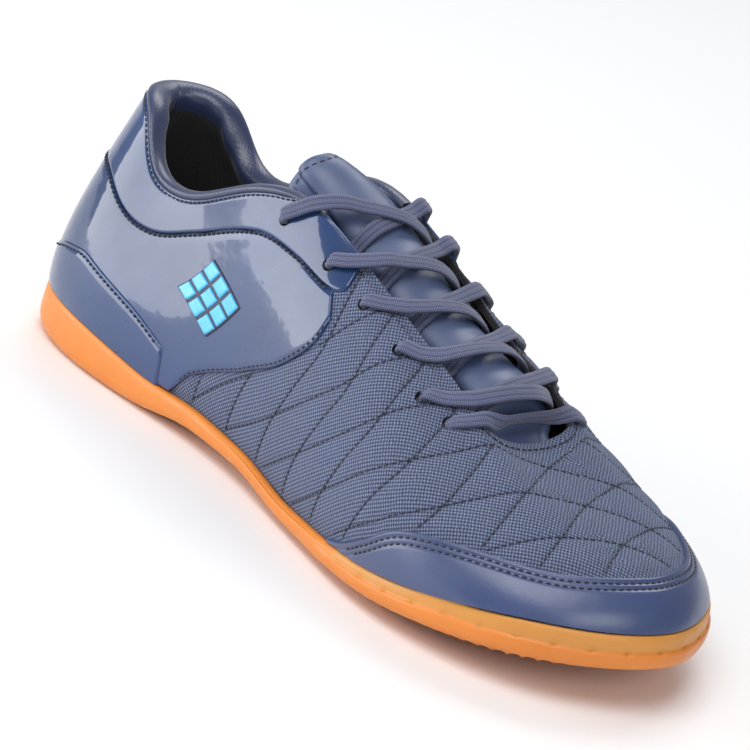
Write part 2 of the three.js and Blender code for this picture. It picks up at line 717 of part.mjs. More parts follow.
// One lace from inside one edge of the throat to the eyelet of the next row on the other side
function crossing(row, side, lift) {
  const [from, to] = [alongThroat(row + 1, -side) - 0.16 - 0.06 * row, alongThroat(row, side)];
  const end = eyeletPlace;
  const over = restOver(row);
  const under = -(UPPER_WALL + 5 * CLEAR + LACE_THICKNESS);
  const rest = 0.75 * LACE_THICKNESS;
  const path = [
    [-1.06, under], [-0.93, under], [-0.8, 0.95 * under], [-0.6, 0.55 * under], [-0.34, -rest],
    [-0.12, lift - 0.3 * rest], [0.06, lift], [0.24, lift], [0.42, 0.7 * lift + 0.3 * rest], [0.6, over],
    [0.74, over + rest], [0.9, over + rest], [end, over + 0.3 * rest],
  ];
  const start = path[0][0];
  return path.map(([t, height]) => {
    const part = (t - start) / (end - start);
    return [THREE.MathUtils.lerp(from, to, part), side * t, height];
  });
}

function laceCross(row) {
  const below = laceRun(crossing(row, 1, 0));
  const above = laceRun(crossing(row, -1, LACE_THICKNESS * 0.8));
  return toGeometry(toSolid(below).add(toSolid(above)));
}

function laceBar() {
  const row = EYELETS.length - 1;
  const end = eyeletPlace;
  const places = range(12, -end, end);
  const along = (t) => THREE.MathUtils.mapLinear(t, -end, end, alongThroat(row, -1), alongThroat(row, 1));
  const height = (t) => restOver(row) + LACE_THICKNESS * (0.8 + 0.95 * smooth((Math.abs(t) - 0.62) / 0.15));
  return laceRun(places.map((t) => [along(t), t, height(t)]));
}

// Raised badge plate on the outer quarter: a diamond that follows the wall
function badge() {
  const centre = { q: 4.55, v: 0.53 };
  const wall = shellPoint(centre.q, 0.7).distanceTo(shellPoint(centre.q, 0.4)) / 0.3;
  const around = shellPoint(centre.q + 0.5, centre.v).distanceTo(shellPoint(centre.q - 0.5, centre.v));
  const near = 2 * SKIN_GAP + OVERLAY_WALL;
  const half = BADGE_SIZE / 2;
  const place = (a, b, off) => {
    const along = BADGE_STRETCH * (a + b) * half / 2;
    const up = (b - a) * half / 2;
    return skin(centre.q + along / around, centre.v + up / wall, off);
  };
  const steps = range(4, -1, 1);
  return sheet(steps.map((a) => ({
    outside: steps.map((b) => place(a, b, near + OVERLAY_WALL)),
    inside: steps.map((b) => place(a, b, near)),
  })));
}

function material(color, roughness) {
  return new THREE.MeshStandardMaterial({ color, roughness, metalness: 0 });
}

const gum = material(0xe08a3c, 0.55);
const canvas = material(0x4a5f7c, 0.9);
const synthetic = material(0x3d4f77, 0.4);
const gloss = material(0x2e3f6b, 0.12);
const lining = material(0x16171c, 0.95);
const cord = material(0x4f567e, 0.85);
const tile = material(0x55c4f2, 0.35);

const shoe = new THREE.Group();

function addPiece(name, geometry, finish) {
  const mesh = new THREE.Mesh(geometry, finish);
  mesh.name = name;
  shoe.add(mesh);
}

addPiece('outsole', outsole(), gum);
addPiece('upper', upper(), canvas);
addPiece('toe_guard', toeGuard(), synthetic);
addPiece('quarter_panel', quarterPanel(), gloss);
addPiece('collar_panel', collarPanel(), gloss);
addPiece('heel_counter', heelCounter(), gloss);
addPiece('collar_lining', collarLining(), lining);
addPiece('tongue', tongue(), synthetic);
addPiece('insole', insole(), lining);
addPiece('lace_bar', laceBar(), cord);
for (let row = 0; row < EYELETS.length - 1; row++) {
  addPiece(`lace_cross_${row + 1}`, laceCross(row), cord);
}
addPiece('badge_lateral', badge(), tile);

export default shoe;
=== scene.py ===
# Looks of a low indoor court shoe for the right foot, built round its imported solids.
# Lengths are millimetres until a mesh is made: +X to the toe, +Y to the other foot, +Z up.
import math

import bmesh
import bpy
import numpy as np
from mathutils import Matrix, Vector

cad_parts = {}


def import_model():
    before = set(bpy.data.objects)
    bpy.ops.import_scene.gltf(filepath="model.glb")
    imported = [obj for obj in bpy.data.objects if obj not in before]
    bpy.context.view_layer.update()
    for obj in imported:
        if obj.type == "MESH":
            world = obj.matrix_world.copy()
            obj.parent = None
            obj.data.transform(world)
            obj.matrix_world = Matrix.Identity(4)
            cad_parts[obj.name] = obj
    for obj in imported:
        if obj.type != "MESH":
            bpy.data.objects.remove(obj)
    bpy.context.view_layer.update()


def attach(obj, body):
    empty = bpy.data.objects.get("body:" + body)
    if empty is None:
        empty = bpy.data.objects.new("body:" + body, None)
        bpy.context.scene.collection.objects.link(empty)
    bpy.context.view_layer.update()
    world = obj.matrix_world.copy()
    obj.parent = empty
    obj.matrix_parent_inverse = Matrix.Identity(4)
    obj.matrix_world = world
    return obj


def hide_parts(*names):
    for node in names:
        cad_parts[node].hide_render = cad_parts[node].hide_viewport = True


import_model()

MM = 0.001

# Sizes of the whole shoe, as in the imported solids
LENGTH = 270.0
BALL_WIDTH = 98.0
COLLAR_HEIGHT = 81.0
SIDE_HEIGHT = 16.0
HEEL_SEAT = 34.0
TOE_SPRING = 12.0
ARCH_RISE = 3.0

# Sizes of the pieces, as in the imported solids
HEEL_THICKNESS = 10.5
BALL_THICKNESS = 6.0
LIP_WIDTH = 3.4
UPPER_WALL = 2.0
OVERLAY_WALL = 1.0
LINING_PAD = 4.5
INSOLE_THICKNESS = 3.0
TONGUE_THICKNESS = 3.0
TONGUE_RISE = 7.0
TONGUE_SAG = 4.0
TONGUE_LEAN = 6.0
LACE_WIDTH = 6.0
LACE_THICKNESS = 1.2
EYELET_HOLE = 4.4
EYELET_EDGE = 7.5
BADGE_SIZE = 24.0
BADGE_STRETCH = 1.25
CLEAR = 0.3
SKIN_GAP = 0.4
STEEP_SPAN = 25.0
FLANK_LENGTH = 60.0

# Sizes of what the scene adds: the sole's band, scallops, notches, lip and tread
BAND_DEPTH = 0.8
SCALLOP = 5.2
NOTCH = 11.0
LIP_WAVE = 8.9
LIP_WAVE_HEIGHT = 1.5
GROOVE_DEPTH = 1.6

# Cloth, collar and stitches; a seam's place is its distance from the edge of its piece
QUILT_PUFF = 0.8
QUILT_PERIOD = 17.3
QUILT_START = 70.4
WEAVE_CELL = 0.7
BRAID_CELL = 0.55
COLLAR_EDGE = 2.4
SATIN_DEPTH = 6.5
THREAD = 0.5
THROAT_SEAM = 3.0
TONGUE_SEAM = 4.0
TOE_SEAMS = (2.4, 4.6)
QUARTER_STITCHES = 0.9
COLLAR_STITCHES = 1.1
COUNTER_STITCHES = 1.6
STITCH_SIDES = 6
# Rows of eyelets that go through the collar panel too, and a distance farther than any seam's reach
PANEL_EYELETS = 2
FAR = 9.0
# A stitch from end to end: share of its length, height over the surface in radii
STITCH_PROFILE = [(0.0, -0.7), (0.12, 0.25), (0.5, 0.55), (0.88, 0.25), (1.0, -0.7)]

# Footprint of the sole: place along the length, middle line and half width over the ball width
PLAN = [
    # at, middle, half
    (0.000, -0.010, 0.000),
    (0.018, -0.022, 0.215),
    (0.072, -0.026, 0.328),
    (0.165, -0.024, 0.365),
    (0.290, -0.026, 0.332),
    (0.415, -0.038, 0.302),
    (0.535, -0.034, 0.345),
    (0.650, -0.006, 0.430),
    (0.750, 0.028, 0.494),
    (0.845, 0.062, 0.486),
    (0.925, 0.064, 0.380),
    (0.978, 0.062, 0.202),
    (1.000, 0.070, 0.000),
]

# Top edge of collar and throat: place, middle, half width, height on the outer and inner side
TOPLINE = [
    # at, middle, half, outer, inner
    (0.034, 0.006, 0.000, 1.010, 1.010),
    (0.050, 0.008, 0.098, 1.005, 1.012),
    (0.091, 0.008, 0.166, 0.955, 0.970),
    (0.140, 0.002, 0.198, 0.806, 0.818),
    (0.217, 0.000, 0.206, 0.815, 0.830),
    (0.300, 0.000, 0.197, 0.968, 0.990),
    (0.385, 0.005, 0.168, 1.035, 1.065),
    (0.456, 0.026, 0.164, 0.975, 0.990),
    (0.523, 0.034, 0.170, 0.907, 0.910),
    (0.600, 0.047, 0.170, 0.817, 0.803),
    (0.678, 0.063, 0.190, 0.735, 0.712),
    (0.726, 0.055, 0.155, 0.656, 0.643),
    (0.732, 0.048, 0.000, 0.605, 0.605),
]

# Wall between sole and top edge at the same places, over the ball width;
# rim and widest are heights on the side of the sole over its height at the heel
WALL = [
    # rise, bulge, reach, drop, rim, widest
    (0.230, 0.060, 0.057, 0.198, 1.00, 0.40),
    (0.200, 0.062, 0.060, 0.204, 0.99, 0.39),
    (0.188, 0.050, 0.063, 0.188, 0.95, 0.33),
    (0.176, 0.032, 0.079, 0.165, 0.87, 0.28),
    (0.190, 0.026, 0.087, 0.170, 0.62, 0.27),
    (0.222, 0.042, 0.101, 0.195, 0.44, 0.24),
    (0.264, 0.062, 0.132, 0.177, 0.44, 0.30),
    (0.285, 0.068, 0.195, 0.160, 0.57, 0.35),
    (0.265, 0.073, 0.252, 0.170, 0.69, 0.36),
    (0.215, 0.084, 0.278, 0.195, 0.80, 0.39),
    (0.182, 0.070, 0.272, 0.180, 0.86, 0.38),
    (0.210, 0.055, 0.280, 0.120, 0.82, 0.32),
    (0.240, 0.048, 0.320, 0.090, 0.80, 0.29),
]
TOE = len(PLAN) - 1
AROUND = 2 * TOE

# Edges of the overlays: station against share of the wall's height, the same on both sides
TOE_GUARD_TOP = [
    (7.0, 0.05), (7.3, 0.08), (7.75, 0.155), (8.3, 0.26),
    (8.9, 0.33), (9.8, 0.39), (10.8, 0.385), (12.0, 0.37),
]
QUARTER_FOOT = [(4.1, 0.00), (4.4, 0.18), (5.2, 0.33), (5.8, 0.42), (6.4, 0.56), (6.8, 0.72)]
COLLAR_SEAM = [
    (0.0, 0.65), (1.5, 0.655), (2.55, 0.67), (3.4, 0.715), (4.1, 0.79), (5.2, 0.81),
    (5.9, 0.765), (6.5, 0.745), (6.95, 0.80), (7.45, 1.00),
]
COUNTER_TOP = [(0.0, 0.22), (1.2, 0.25), (2.0, 0.33), (2.65, 0.385), (3.5, 0.33), (4.3, 0.15)]

# Lace holes from the top row down: station along the throat on the outer and the inner side
EYELETS = [(5.80, 6.60), (7.20, 7.40), (8.10, 8.30), (9.00, 9.05), (9.85, 9.85), (10.70, 10.70)]

# Quilting: how far a seam runs forwards of its crossing on the middle line, against its distance from it
QUILT_WAVE = [
    (-105, -76), (-90, -60), (-75, -45), (-60, -31), (-45, -19), (-30, -12), (-15, -6), (0, 0),
    (15, 9), (30, 15), (45, 18), (60, 14), (75, 9), (90, 6), (105, 5),
]


def smooth(value):
    t = np.clip(value, 0, 1)
    return t * t * (3 - 2 * t)


def lerp(a, b, t):
    return a + (b - a) * t


def unit(vectors):
    return vectors / np.maximum(np.linalg.norm(vectors, axis=-1, keepdims=True), 1e-9)


def column(table, index, size=1.0):
    return [row[index] * size for row in table]


def walked(points):
    """Distance walked to each of a row of points."""
    return np.concatenate([[0], np.cumsum(np.linalg.norm(np.diff(points, axis=0), axis=1))])


def closed_curve(outer, inner=None):
    """A closed smooth curve through one value for each station."""
    inner = outer if inner is None else inner
    values = np.array(list(outer) + list(inner[-2:0:-1]), float)
    count = len(values)
    c = values.copy()
    for _ in range(60):
        c = (6 * values - np.roll(c, -1) - np.roll(c, 1)) / 4

    def curve(station):
        q = np.asarray(station, float) % count
        i = np.floor(q).astype(int)
        t = q - i
        a, b, d, e = (c[(i + k) % count] for k in (-1, 0, 1, 2))
        early = (1 - t) ** 3 * a + (3 * t**3 - 6 * t**2 + 4) * b
        late = (-3 * t**3 + 3 * t**2 + 3 * t + 1) * d + t**3 * e
        return (early + late) / 6

    return curve


def hermite(pairs):
    """A smooth curve through a short list of pairs."""
    at = np.array([p[0] for p in pairs], float)
    value = np.array([p[1] for p in pairs], float)
    last = len(at) - 1
    before = np.maximum(np.arange(last + 1) - 1, 0)
    after = np.minimum(np.arange(last + 1) + 1, last)
    slope = (value[after] - value[before]) / (at[after] - at[before])

    def curve(place):
        x = np.clip(np.asarray(place, float), at[0], at[-1])
        i = np.clip(np.searchsorted(at, x) - 1, 0, last - 1)
        width = at[i + 1] - at[i]
        t = (x - at[i]) / width
        start = (1 + 2 * t) * (1 - t) ** 2 * value[i] + t * (1 - t) ** 2 * width * slope[i]
        return start + t * t * (3 - 2 * t) * value[i + 1] - t * t * (1 - t) * width * slope[i + 1]

    return curve


def valley(distance, width=0.7):
    return np.exp(-((distance / width) ** 2))


def edge_curve(pairs):
    """The same edge on both sides of the shoe, by station."""
    curve = hermite(pairs)

    def both(station):
        turned = np.asarray(station, float) % AROUND
        return curve(np.minimum(turned, AROUND - turned))

    return both


def sides(table, sign):
    return [(row[1] + sign * row[2]) * BALL_WIDTH for row in table]


sole_x = closed_curve([row[0] * LENGTH - HEEL_SEAT for row in PLAN])
sole_y = closed_curve(sides(PLAN, -1), sides(PLAN, 1))
top_x = closed_curve([row[0] * LENGTH - HEEL_SEAT for row in TOPLINE])
top_y = closed_curve(sides(TOPLINE, -1), sides(TOPLINE, 1))
top_z = closed_curve(column(TOPLINE, 3, COLLAR_HEIGHT), column(TOPLINE, 4, COLLAR_HEIGHT))
rise, bulge, reach, drop = (closed_curve(column(WALL, k, BALL_WIDTH)) for k in range(4))
rim_height, widest_height = (closed_curve(column(WALL, k, SIDE_HEIGHT)) for k in (4, 5))
toe_guard_top = edge_curve(TOE_GUARD_TOP)
quarter_foot = edge_curve(QUARTER_FOOT)
collar_seam = edge_curve(COLLAR_SEAM)
counter_top = edge_curve(COUNTER_TOP)
quilt_wave = hermite(QUILT_WAVE)


def share(x):
    return (np.asarray(x, float) + HEEL_SEAT) / LENGTH


def toe_lift(s):
    return TOE_SPRING * np.maximum((s - 0.64) / 0.36, 0) ** 1.4


def tread_height(x):
    s = share(x)
    return toe_lift(s) + ARCH_RISE * smooth((s - 0.25) / 0.12) * (1 - smooth((s - 0.44) / 0.12))


def tray_height(x):
    s = share(x)
    return lerp(BALL_THICKNESS, HEEL_THICKNESS, 1 - smooth((s - 0.15) / 0.5)) + toe_lift(s)


def matched(*values):
    """Numbers or arrays as arrays of one shape."""
    return np.broadcast_arrays(*(np.asarray(value, float) for value in values))


def bezier(t, start, low, high, end):
    t = t[..., None]
    return (1 - t) ** 3 * start + 3 * (1 - t) ** 2 * t * low + 3 * (1 - t) * t**2 * high + t**3 * end


def outline(q, inset=0.0):
    """Points on the sole's outline moved inwards by inset, with the outward directions."""
    step = 0.001
    dx = sole_x(q + step) - sole_x(q - step)
    dy = sole_y(q + step) - sole_y(q - step)
    out = unit(np.stack([dy, -dx], -1))
    return np.stack([sole_x(q), sole_y(q)], -1) - out * np.asarray(inset)[..., None], out


def shell_point(q, v):
    """Outside of the upper: station q around the shoe, v from the sole (0) to the top edge (1)."""
    q, v = matched(q, v)
    foot, out = outline(q, LIP_WIDTH)
    foot_z = tray_height(foot[..., 0]) + CLEAR
    top = np.stack([top_x(q), top_y(q)], -1)
    away = foot - top
    span = np.maximum(np.linalg.norm(away, axis=-1), 1e-6)[..., None]
    blend = np.minimum(span / STEEP_SPAN, 1)
    away = unit(away * blend / span + out * (1 - blend))
    low = foot + out * bulge(q)[..., None]
    high = top + away * reach(q)[..., None]
    heights = [foot_z, foot_z + rise(q), top_z(q) - drop(q), top_z(q)]
    places = zip([foot, low, high, top], heights)
    return bezier(v, *(np.concatenate([place, z[..., None]], -1) for place, z in places))


def shell_normal(q, v):
    step = 0.002
    along = shell_point(q + step, v) - shell_point(q - step, v)
    up = shell_point(q, np.minimum(v + step, 1)) - shell_point(q, np.maximum(v - step, 0))
    return unit(np.cross(along, up))


def skin(q, v, off=0.0):
    """Point at an offset outwards from the upper's outside."""
    q, v = matched(q, v)
    return shell_point(q, v) + shell_normal(q, v) * np.asarray(off, float)[..., None]


def share_at_rim(q, above):
    """Share of the wall at which the shell stands a given height over the sole's rim."""
    low = np.zeros_like(np.asarray(q, float))
    high = low + 0.5
    for _ in range(20):
        mid = (low + high) / 2
        point = shell_point(q, mid)
        under = point[..., 2] < tread_height(point[..., 0]) + rim_height(q) + above
        low = np.where(under, mid, low)
        high = np.where(under, high, mid)
    return (low + high) / 2


def over_sole(q):
    return share_at_rim(q, CLEAR + 0.1)


def wall_length(q, low=0.0, high=1.0):
    """Length of the wall at a station between two shares of its height."""
    shares = [lerp(low, high, k / 12) for k in range(13)]
    points = [shell_point(q, s) for s in shares]
    return sum(np.linalg.norm(b - a, axis=-1) for a, b in zip(points[:-1], points[1:]))


def beside_edge(q, distance):
    """Place on the wall at a distance square to its top edge."""
    step = 0.01
    along = (shell_point(q + step, 1) - shell_point(q - step, 1)) / (2 * step)
    down = (shell_point(q, 1 - 4 * step) - shell_point(q, 1)) / (4 * step)
    turn = -np.sum(down * along, -1) / np.sum(along * along, -1)
    part = distance / np.linalg.norm(down + along * turn[..., None], axis=-1)
    return q + turn * part, 1 - part


def bridge(q, t):
    """Bridges the throat between its edges, t from -1 to 1; beyond them it follows the upper."""
    q, t = matched(q, t)
    away = np.maximum(np.abs(t) - 1, 0) * FLANK_LENGTH
    outside = shell_point(*beside_edge(np.where(t < 0, q, AROUND - q), away))
    ends = [(station, shell_point(station, 1)) for station in (q, AROUND - q)]
    start, end = (edge for _, edge in ends)
    handle = np.linalg.norm(end - start, axis=-1, keepdims=True) * 0.26
    low, high = (
        edge + unit(edge - shell_point(*beside_edge(station, 2.0))) * handle for station, edge in ends)
    across = bezier((t + 1) / 2, start, low, high, end)
    return np.where((np.abs(t) >= 1)[..., None], outside, across)


def bridge_normal(q, t):
    step = 0.01
    along = bridge(q + step, t) - bridge(q - step, t)
    across = bridge(q, t + step) - bridge(q, t - step)
    return unit(np.cross(along, across))


def over_throat(q, t, off):
    q, t = matched(q, t)
    return bridge(q, t) + bridge_normal(q, t) * np.asarray(off, float)[..., None]


# Meshes


def make_object(name, points, faces, finishes, face_finish=None, flat_shaded=False, values=None):
    """A piece from points in millimetres; values holds named numbers or pairs for each point."""
    mesh = bpy.data.meshes.new(name)
    mesh.from_pydata((np.asarray(points, float) * MM).tolist(), [], [list(map(int, f)) for f in faces])
    for finish in finishes:
        mesh.materials.append(finish)
    if face_finish is not None:
        mesh.polygons.foreach_set("material_index", np.asarray(face_finish, np.int32))
    mesh.polygons.foreach_set("use_smooth", np.full(len(mesh.polygons), not flat_shaded))
    for key, data in (values or {}).items():
        data = np.asarray(data, np.float32)
        if data.ndim == 1:
            mesh.attributes.new(key, "FLOAT", "POINT").data.foreach_set("value", data)
        else:
            padded = np.zeros((len(data), 3), np.float32)
            padded[:, : data.shape[1]] = data
            mesh.attributes.new(key, "FLOAT_VECTOR", "POINT").data.foreach_set("vector", padded.ravel())
    mesh.validate()
    mesh.update()
    obj = bpy.data.objects.new(name, mesh)
    bpy.context.scene.collection.objects.link(obj)
    return obj


def grid_faces(rows, cols, closed=False, start=0, turned=False):
    """Quads of a grid of points; closed joins the last row to the first."""
    i = np.arange(rows if closed else rows - 1)[:, None]
    j = np.arange(cols - 1)[None, :]
    here = i * cols + j
    there = ((i + 1) % rows) * cols + j
    quads = np.stack([here, there, there + 1, here + 1], -1).reshape(-1, 4) + start
    return quads[:, ::-1] if turned else quads


def sheet_body(outside, inside, closed=False):
    """Closed body between two grids of points; gives its points, faces and which faces are inside."""
    rows, cols = outside.shape[:2]
    points = np.concatenate([outside.reshape(-1, 3), inside.reshape(-1, 3)])
    inner = rows * cols
    front = grid_faces(rows, cols, closed)
    back = grid_faces(rows, cols, closed, inner, True)
    i = np.arange(rows if closed else rows - 1)
    n = (i + 1) % rows
    low = np.stack([i * cols + inner, n * cols + inner, n * cols, i * cols], -1)
    last = cols - 1
    high = np.stack([i * cols + last, n * cols + last, n * cols + last + inner, i * cols + last + inner], -1)
    parts = [front, back, low, high]
    if not closed:
        j = np.arange(cols - 1)
        end = (rows - 1) * cols
        parts.append(np.stack([j + inner, j, j + 1, j + 1 + inner], -1))
        parts.append(np.stack([end + j, end + j + inner, end + j + 1 + inner, end + j + 1], -1))
    faces = np.concatenate(parts)
    is_inside = np.zeros(len(faces), int)
    is_inside[len(front) : len(front) + len(back)] = 1
    return points, faces, is_inside


def tube_faces(rows, ring, closed=False):
    """Quads of a tube of closed sections; closed joins the last section to the first."""
    i = np.arange(rows if closed else rows - 1)[:, None]
    j = np.arange(ring)[None, :]
    n = (j + 1) % ring
    there = (i + 1) % rows * ring
    return np.stack([i * ring + j, there + j, there + n, i * ring + n], -1).reshape(-1, 4)


def capped_tube(rows, ring):
    """Faces of a tube with a face at each end."""
    ends = [list(range(ring)), list(range((rows - 1) * ring, rows * ring))[::-1]]
    return tube_faces(rows, ring).tolist() + ends


def ring_body(grid):
    """Closed ring of closed sections; gives its points, its faces and the column of each face."""
    count, cols = grid.shape[:2]
    return grid.reshape(-1, 3), tube_faces(count, cols, True), np.tile(np.arange(cols), count)


def merged(parts):
    """Points and faces of several small meshes as one."""
    points, faces, start = [], [], 0
    for some_points, some_faces in parts:
        points.append(some_points)
        faces.extend([i + start for i in face] for face in some_faces)
        start += len(some_points)
    return np.concatenate(points), faces


def spline(points, count):
    """Evenly spaced points on a smooth curve through the given ones."""
    p = np.asarray(points, float)
    padded = np.concatenate([2 * p[:1] - p[1:2], p, 2 * p[-1:] - p[-2:-1]])
    t = np.linspace(0, 1, 12, endpoint=False)[:, None]
    fine = []
    for k in range(len(p) - 1):
        a, b, c, d = padded[k : k + 4]
        bend = (2 * a - 5 * b + 4 * c - d) * t**2 + (3 * b - a - 3 * c + d) * t**3
        fine.append((2 * b + (c - a) * t + bend) / 2)
    fine = np.concatenate(fine + [p[-1:]])
    walk = walked(fine)
    places = np.linspace(0, walk[-1], count)
    return np.stack([np.interp(places, walk, row) for row in fine.T], -1)


class Cloth:
    """Flat coordinates of the canvas: x along the shoe, and w round it from its middle line.

    w is walked along the section at one x; it is negative on the outer side.
    """

    def __init__(self):
        self.x = np.arange(-40.0, 240.0, 1.0)
        self.v = np.linspace(0, 1, 161)
        middle = shell_point(TOE, self.v)
        self.crown = int(np.argmax(middle[:, 0]))
        self.middle = middle[self.crown :][::-1]
        self.throat = self.middle[0, 0]
        stations = np.linspace(0, TOE, 901)
        self.round = []
        for turn in (1, -1):
            rows = shell_point(turn * stations[None, :], self.v[:, None])
            y, z = (np.stack([np.interp(self.x, row[:, 0], row[:, k]) for row in rows], -1) for k in (1, 2))
            self.reach = rows[:, -1, 0]
            valid = self.x[:, None] <= self.reach[None, :]
            steps = np.hypot(np.diff(y, axis=1), np.diff(z, axis=1)) * valid[:, 1:]
            walked = np.concatenate([np.zeros((len(self.x), 1)), np.cumsum(steps, axis=1)], 1)
            last = len(self.v) - 1 - np.argmax(valid[:, ::-1], axis=1)
            here = np.arange(len(self.x))
            gap = self.to_middle(self.x, y[here, last], z[here, last])
            self.round.append(walked - (walked[here, last] + gap)[:, None])

    def to_middle(self, x, y, z):
        """Distance from a point to the middle line; over the open throat only sideways."""
        middle_y, middle_z = (np.interp(x, self.middle[:, 0], self.middle[:, k]) for k in (1, 2))
        return np.hypot(y - middle_y, np.where(x > self.throat, z - middle_z, 0))

    def __call__(self, q, v):
        q, v = np.broadcast_arrays(np.asarray(q, float) % AROUND, np.asarray(v, float))
        point = shell_point(q, v)
        x = point[..., 0]
        i = np.clip((x - self.x[0]) / (self.x[1] - self.x[0]), 0, len(self.x) - 1.001)
        j = np.clip(v / self.v[1], 0, len(self.v) - 1.001)
        i0, j0 = i.astype(int), j.astype(int)
        fi, fj = i - i0, j - j0
        found = []
        for table in self.round:
            low = lerp(table[i0, j0], table[i0 + 1, j0], fi)
            high = lerp(table[i0, j0 + 1], table[i0 + 1, j0 + 1], fi)
            found.append(lerp(low, high, fj))
        walked = np.where(q <= TOE, found[0], found[1])
        beside = (j0 >= self.crown) & (self.x[i0 + 1] > self.reach[j0 + 1])
        walked = np.where(beside, -self.to_middle(x, point[..., 1], point[..., 2]), walked)
        return x, np.where(q <= TOE, walked, -walked)

    def locate(self, x, w):
        """Stations and shares of the wall at given flat coordinates; not a number off the cloth."""

        def flat(q, v):
            return np.stack(self(q, v), -1)

        want = np.stack([x, w], -1)
        guess_q, guess_v = np.meshgrid(np.linspace(3.5, AROUND - 3.5, 171), np.linspace(0.02, 0.99, 50))
        known = flat(guess_q, guess_v).reshape(-1, 2)
        nearest = [int(np.argmin(((known - place) ** 2).sum(-1))) for place in want]
        q, v = guess_q.ravel()[nearest], guess_v.ravel()[nearest]
        step = 0.004
        for _ in range(8):
            miss = want - flat(q, v)
            by_q = (flat(q + step, v) - flat(q - step, v)) / (2 * step)
            by_v = (flat(q, v + step) - flat(q, v - step)) / (2 * step)
            size = by_q[:, 0] * by_v[:, 1] - by_q[:, 1] * by_v[:, 0]
            size = np.where(np.abs(size) < 1e-3, 1e-3, size)
            turn = (miss[:, 0] * by_v[:, 1] - miss[:, 1] * by_v[:, 0]) / size
            climb = (by_q[:, 0] * miss[:, 1] - by_q[:, 1] * miss[:, 0]) / size
            q = q + np.clip(turn, -0.3, 0.3)
            v = np.clip(v + np.clip(climb, -0.06, 0.06), step, 1 - step)
        miss = np.linalg.norm(want - flat(q, v), axis=-1)
        return np.where(miss < 0.2, q, np.nan), np.where(miss < 0.2, v, np.nan)


cloth = Cloth()


def quilt_distance(x, w):
    """Distance to the nearest quilting seam, of both crossing families."""
    result = []
    for sign in (1, -1):
        slope = (quilt_wave(sign * w + 0.5) - quilt_wave(sign * w - 0.5)) * sign
        phase = (x - quilt_wave(sign * w) - QUILT_START) / QUILT_PERIOD
        offset = np.abs(phase - np.round(phase)) * QUILT_PERIOD
        result.append(offset / np.sqrt(1 + slope**2))
    return result


def quilt_height(x, w):
    one, two = quilt_distance(x, w)
    puff = (1 - np.exp(-one / 2.9)) * (1 - np.exp(-two / 2.9))
    return QUILT_PUFF * puff - 0.25 * valley(np.minimum(one, two), 0.55)


# Finishes


class Finish:
    """A material with short ways to add its nodes."""

    def __init__(self, name, color, roughness, **sockets):
        self.material = bpy.data.materials.new(name)
        self.material.use_nodes = True
        self.tree = self.material.node_tree
        self.shader = self.tree.nodes["Principled BSDF"]
        self.shader.inputs["Base Color"].default_value = (*color, 1)
        self.shader.inputs["Roughness"].default_value = roughness
        for key, value in sockets.items():
            self.shader.inputs[key.replace("_", " ")].default_value = value
        self.bumped = None

    def node(self, kind, **settings):
        made = self.tree.nodes.new(kind)
        for key, value in settings.items():
            setattr(made, key, value)
        return made

    def feed(self, socket, value):
        if isinstance(value, (int, float)):
            socket.default_value = value
        elif isinstance(value, tuple):
            socket.default_value = (*value, 1) if len(value) == 3 and socket.type == "RGBA" else value
        else:
            self.tree.links.new(value, socket)

    def math(self, operation, a, b=0.0, c=0.0, clamp=False):
        made = self.node("ShaderNodeMath", operation=operation, use_clamp=clamp)
        for socket, value in zip(made.inputs, (a, b, c)):
            self.feed(socket, value)
        return made.outputs[0]

    def value(self, name):
        return self.node("ShaderNodeAttribute", attribute_name=name).outputs["Fac"]

    def flat(self):
        """The piece's own flat coordinates, in millimetres."""
        split = self.node("ShaderNodeSeparateXYZ")
        self.feed(split.inputs[0], self.node("ShaderNodeAttribute", attribute_name="flat").outputs["Vector"])
        return split.outputs[0], split.outputs[1]

    def place(self):
        return self.node("ShaderNodeTexCoord").outputs["Object"]

    def cells(self, per_metre, feature="F1"):
        made = self.node("ShaderNodeTexVoronoi", feature=feature)
        self.feed(made.inputs["Vector"], self.place())
        made.inputs["Scale"].default_value = per_metre
        return made.outputs["Distance"]

    def noise(self, per_metre, detail=2.0, roughness=0.5):
        made = self.node("ShaderNodeTexNoise")
        self.feed(made.inputs["Vector"], self.place())
        made.inputs["Scale"].default_value = per_metre
        made.inputs["Detail"].default_value = detail
        made.inputs["Roughness"].default_value = roughness
        return made.outputs["Fac"]

    def fit(self, value, low, high, to_low, to_high):
        made = self.node("ShaderNodeMapRange")
        for socket, number in zip(made.inputs, (value, low, high, to_low, to_high)):
            self.feed(socket, number)
        return made.outputs[0]

    def mix(self, part, one, two):
        made = self.node("ShaderNodeMix", data_type="RGBA")
        self.feed(made.inputs["Factor"], part)
        self.feed(made.inputs["A"], one)
        self.feed(made.inputs["B"], two)
        return made.outputs["Result"]

    def color(self, value):
        self.feed(self.shader.inputs["Base Color"], value)
        return self

    def rough(self, value):
        self.feed(self.shader.inputs["Roughness"], value)
        return self

    def bump(self, height, depth_mm, strength=1.0, coat=False):
        made = self.node("ShaderNodeBump")
        made.inputs["Strength"].default_value = strength
        made.inputs["Distance"].default_value = depth_mm * MM
        self.feed(made.inputs["Height"], height)
        if self.bumped is not None:
            self.feed(made.inputs["Normal"], self.bumped)
        self.bumped = made.outputs[0]
        self.feed(self.shader.inputs["Normal"], self.bumped)
        if coat:
            self.feed(self.shader.inputs["Coat Normal"], self.bumped)
        return self


def srgb(*seen):
    """A colour given as seen, 0 to 255, as light."""
    shares = [c / 255 for c in seen]
    return tuple(c / 12.92 if c <= 0.04045 else ((c + 0.055) / 1.055) ** 2.4 for c in shares)


def tone(base, *factors):
    """A seen colour made darker or lighter, as light; one factor counts for all three parts."""
    return srgb(*(min(c * f, 255) for c, f in zip(base, factors * (3 // len(factors)))))


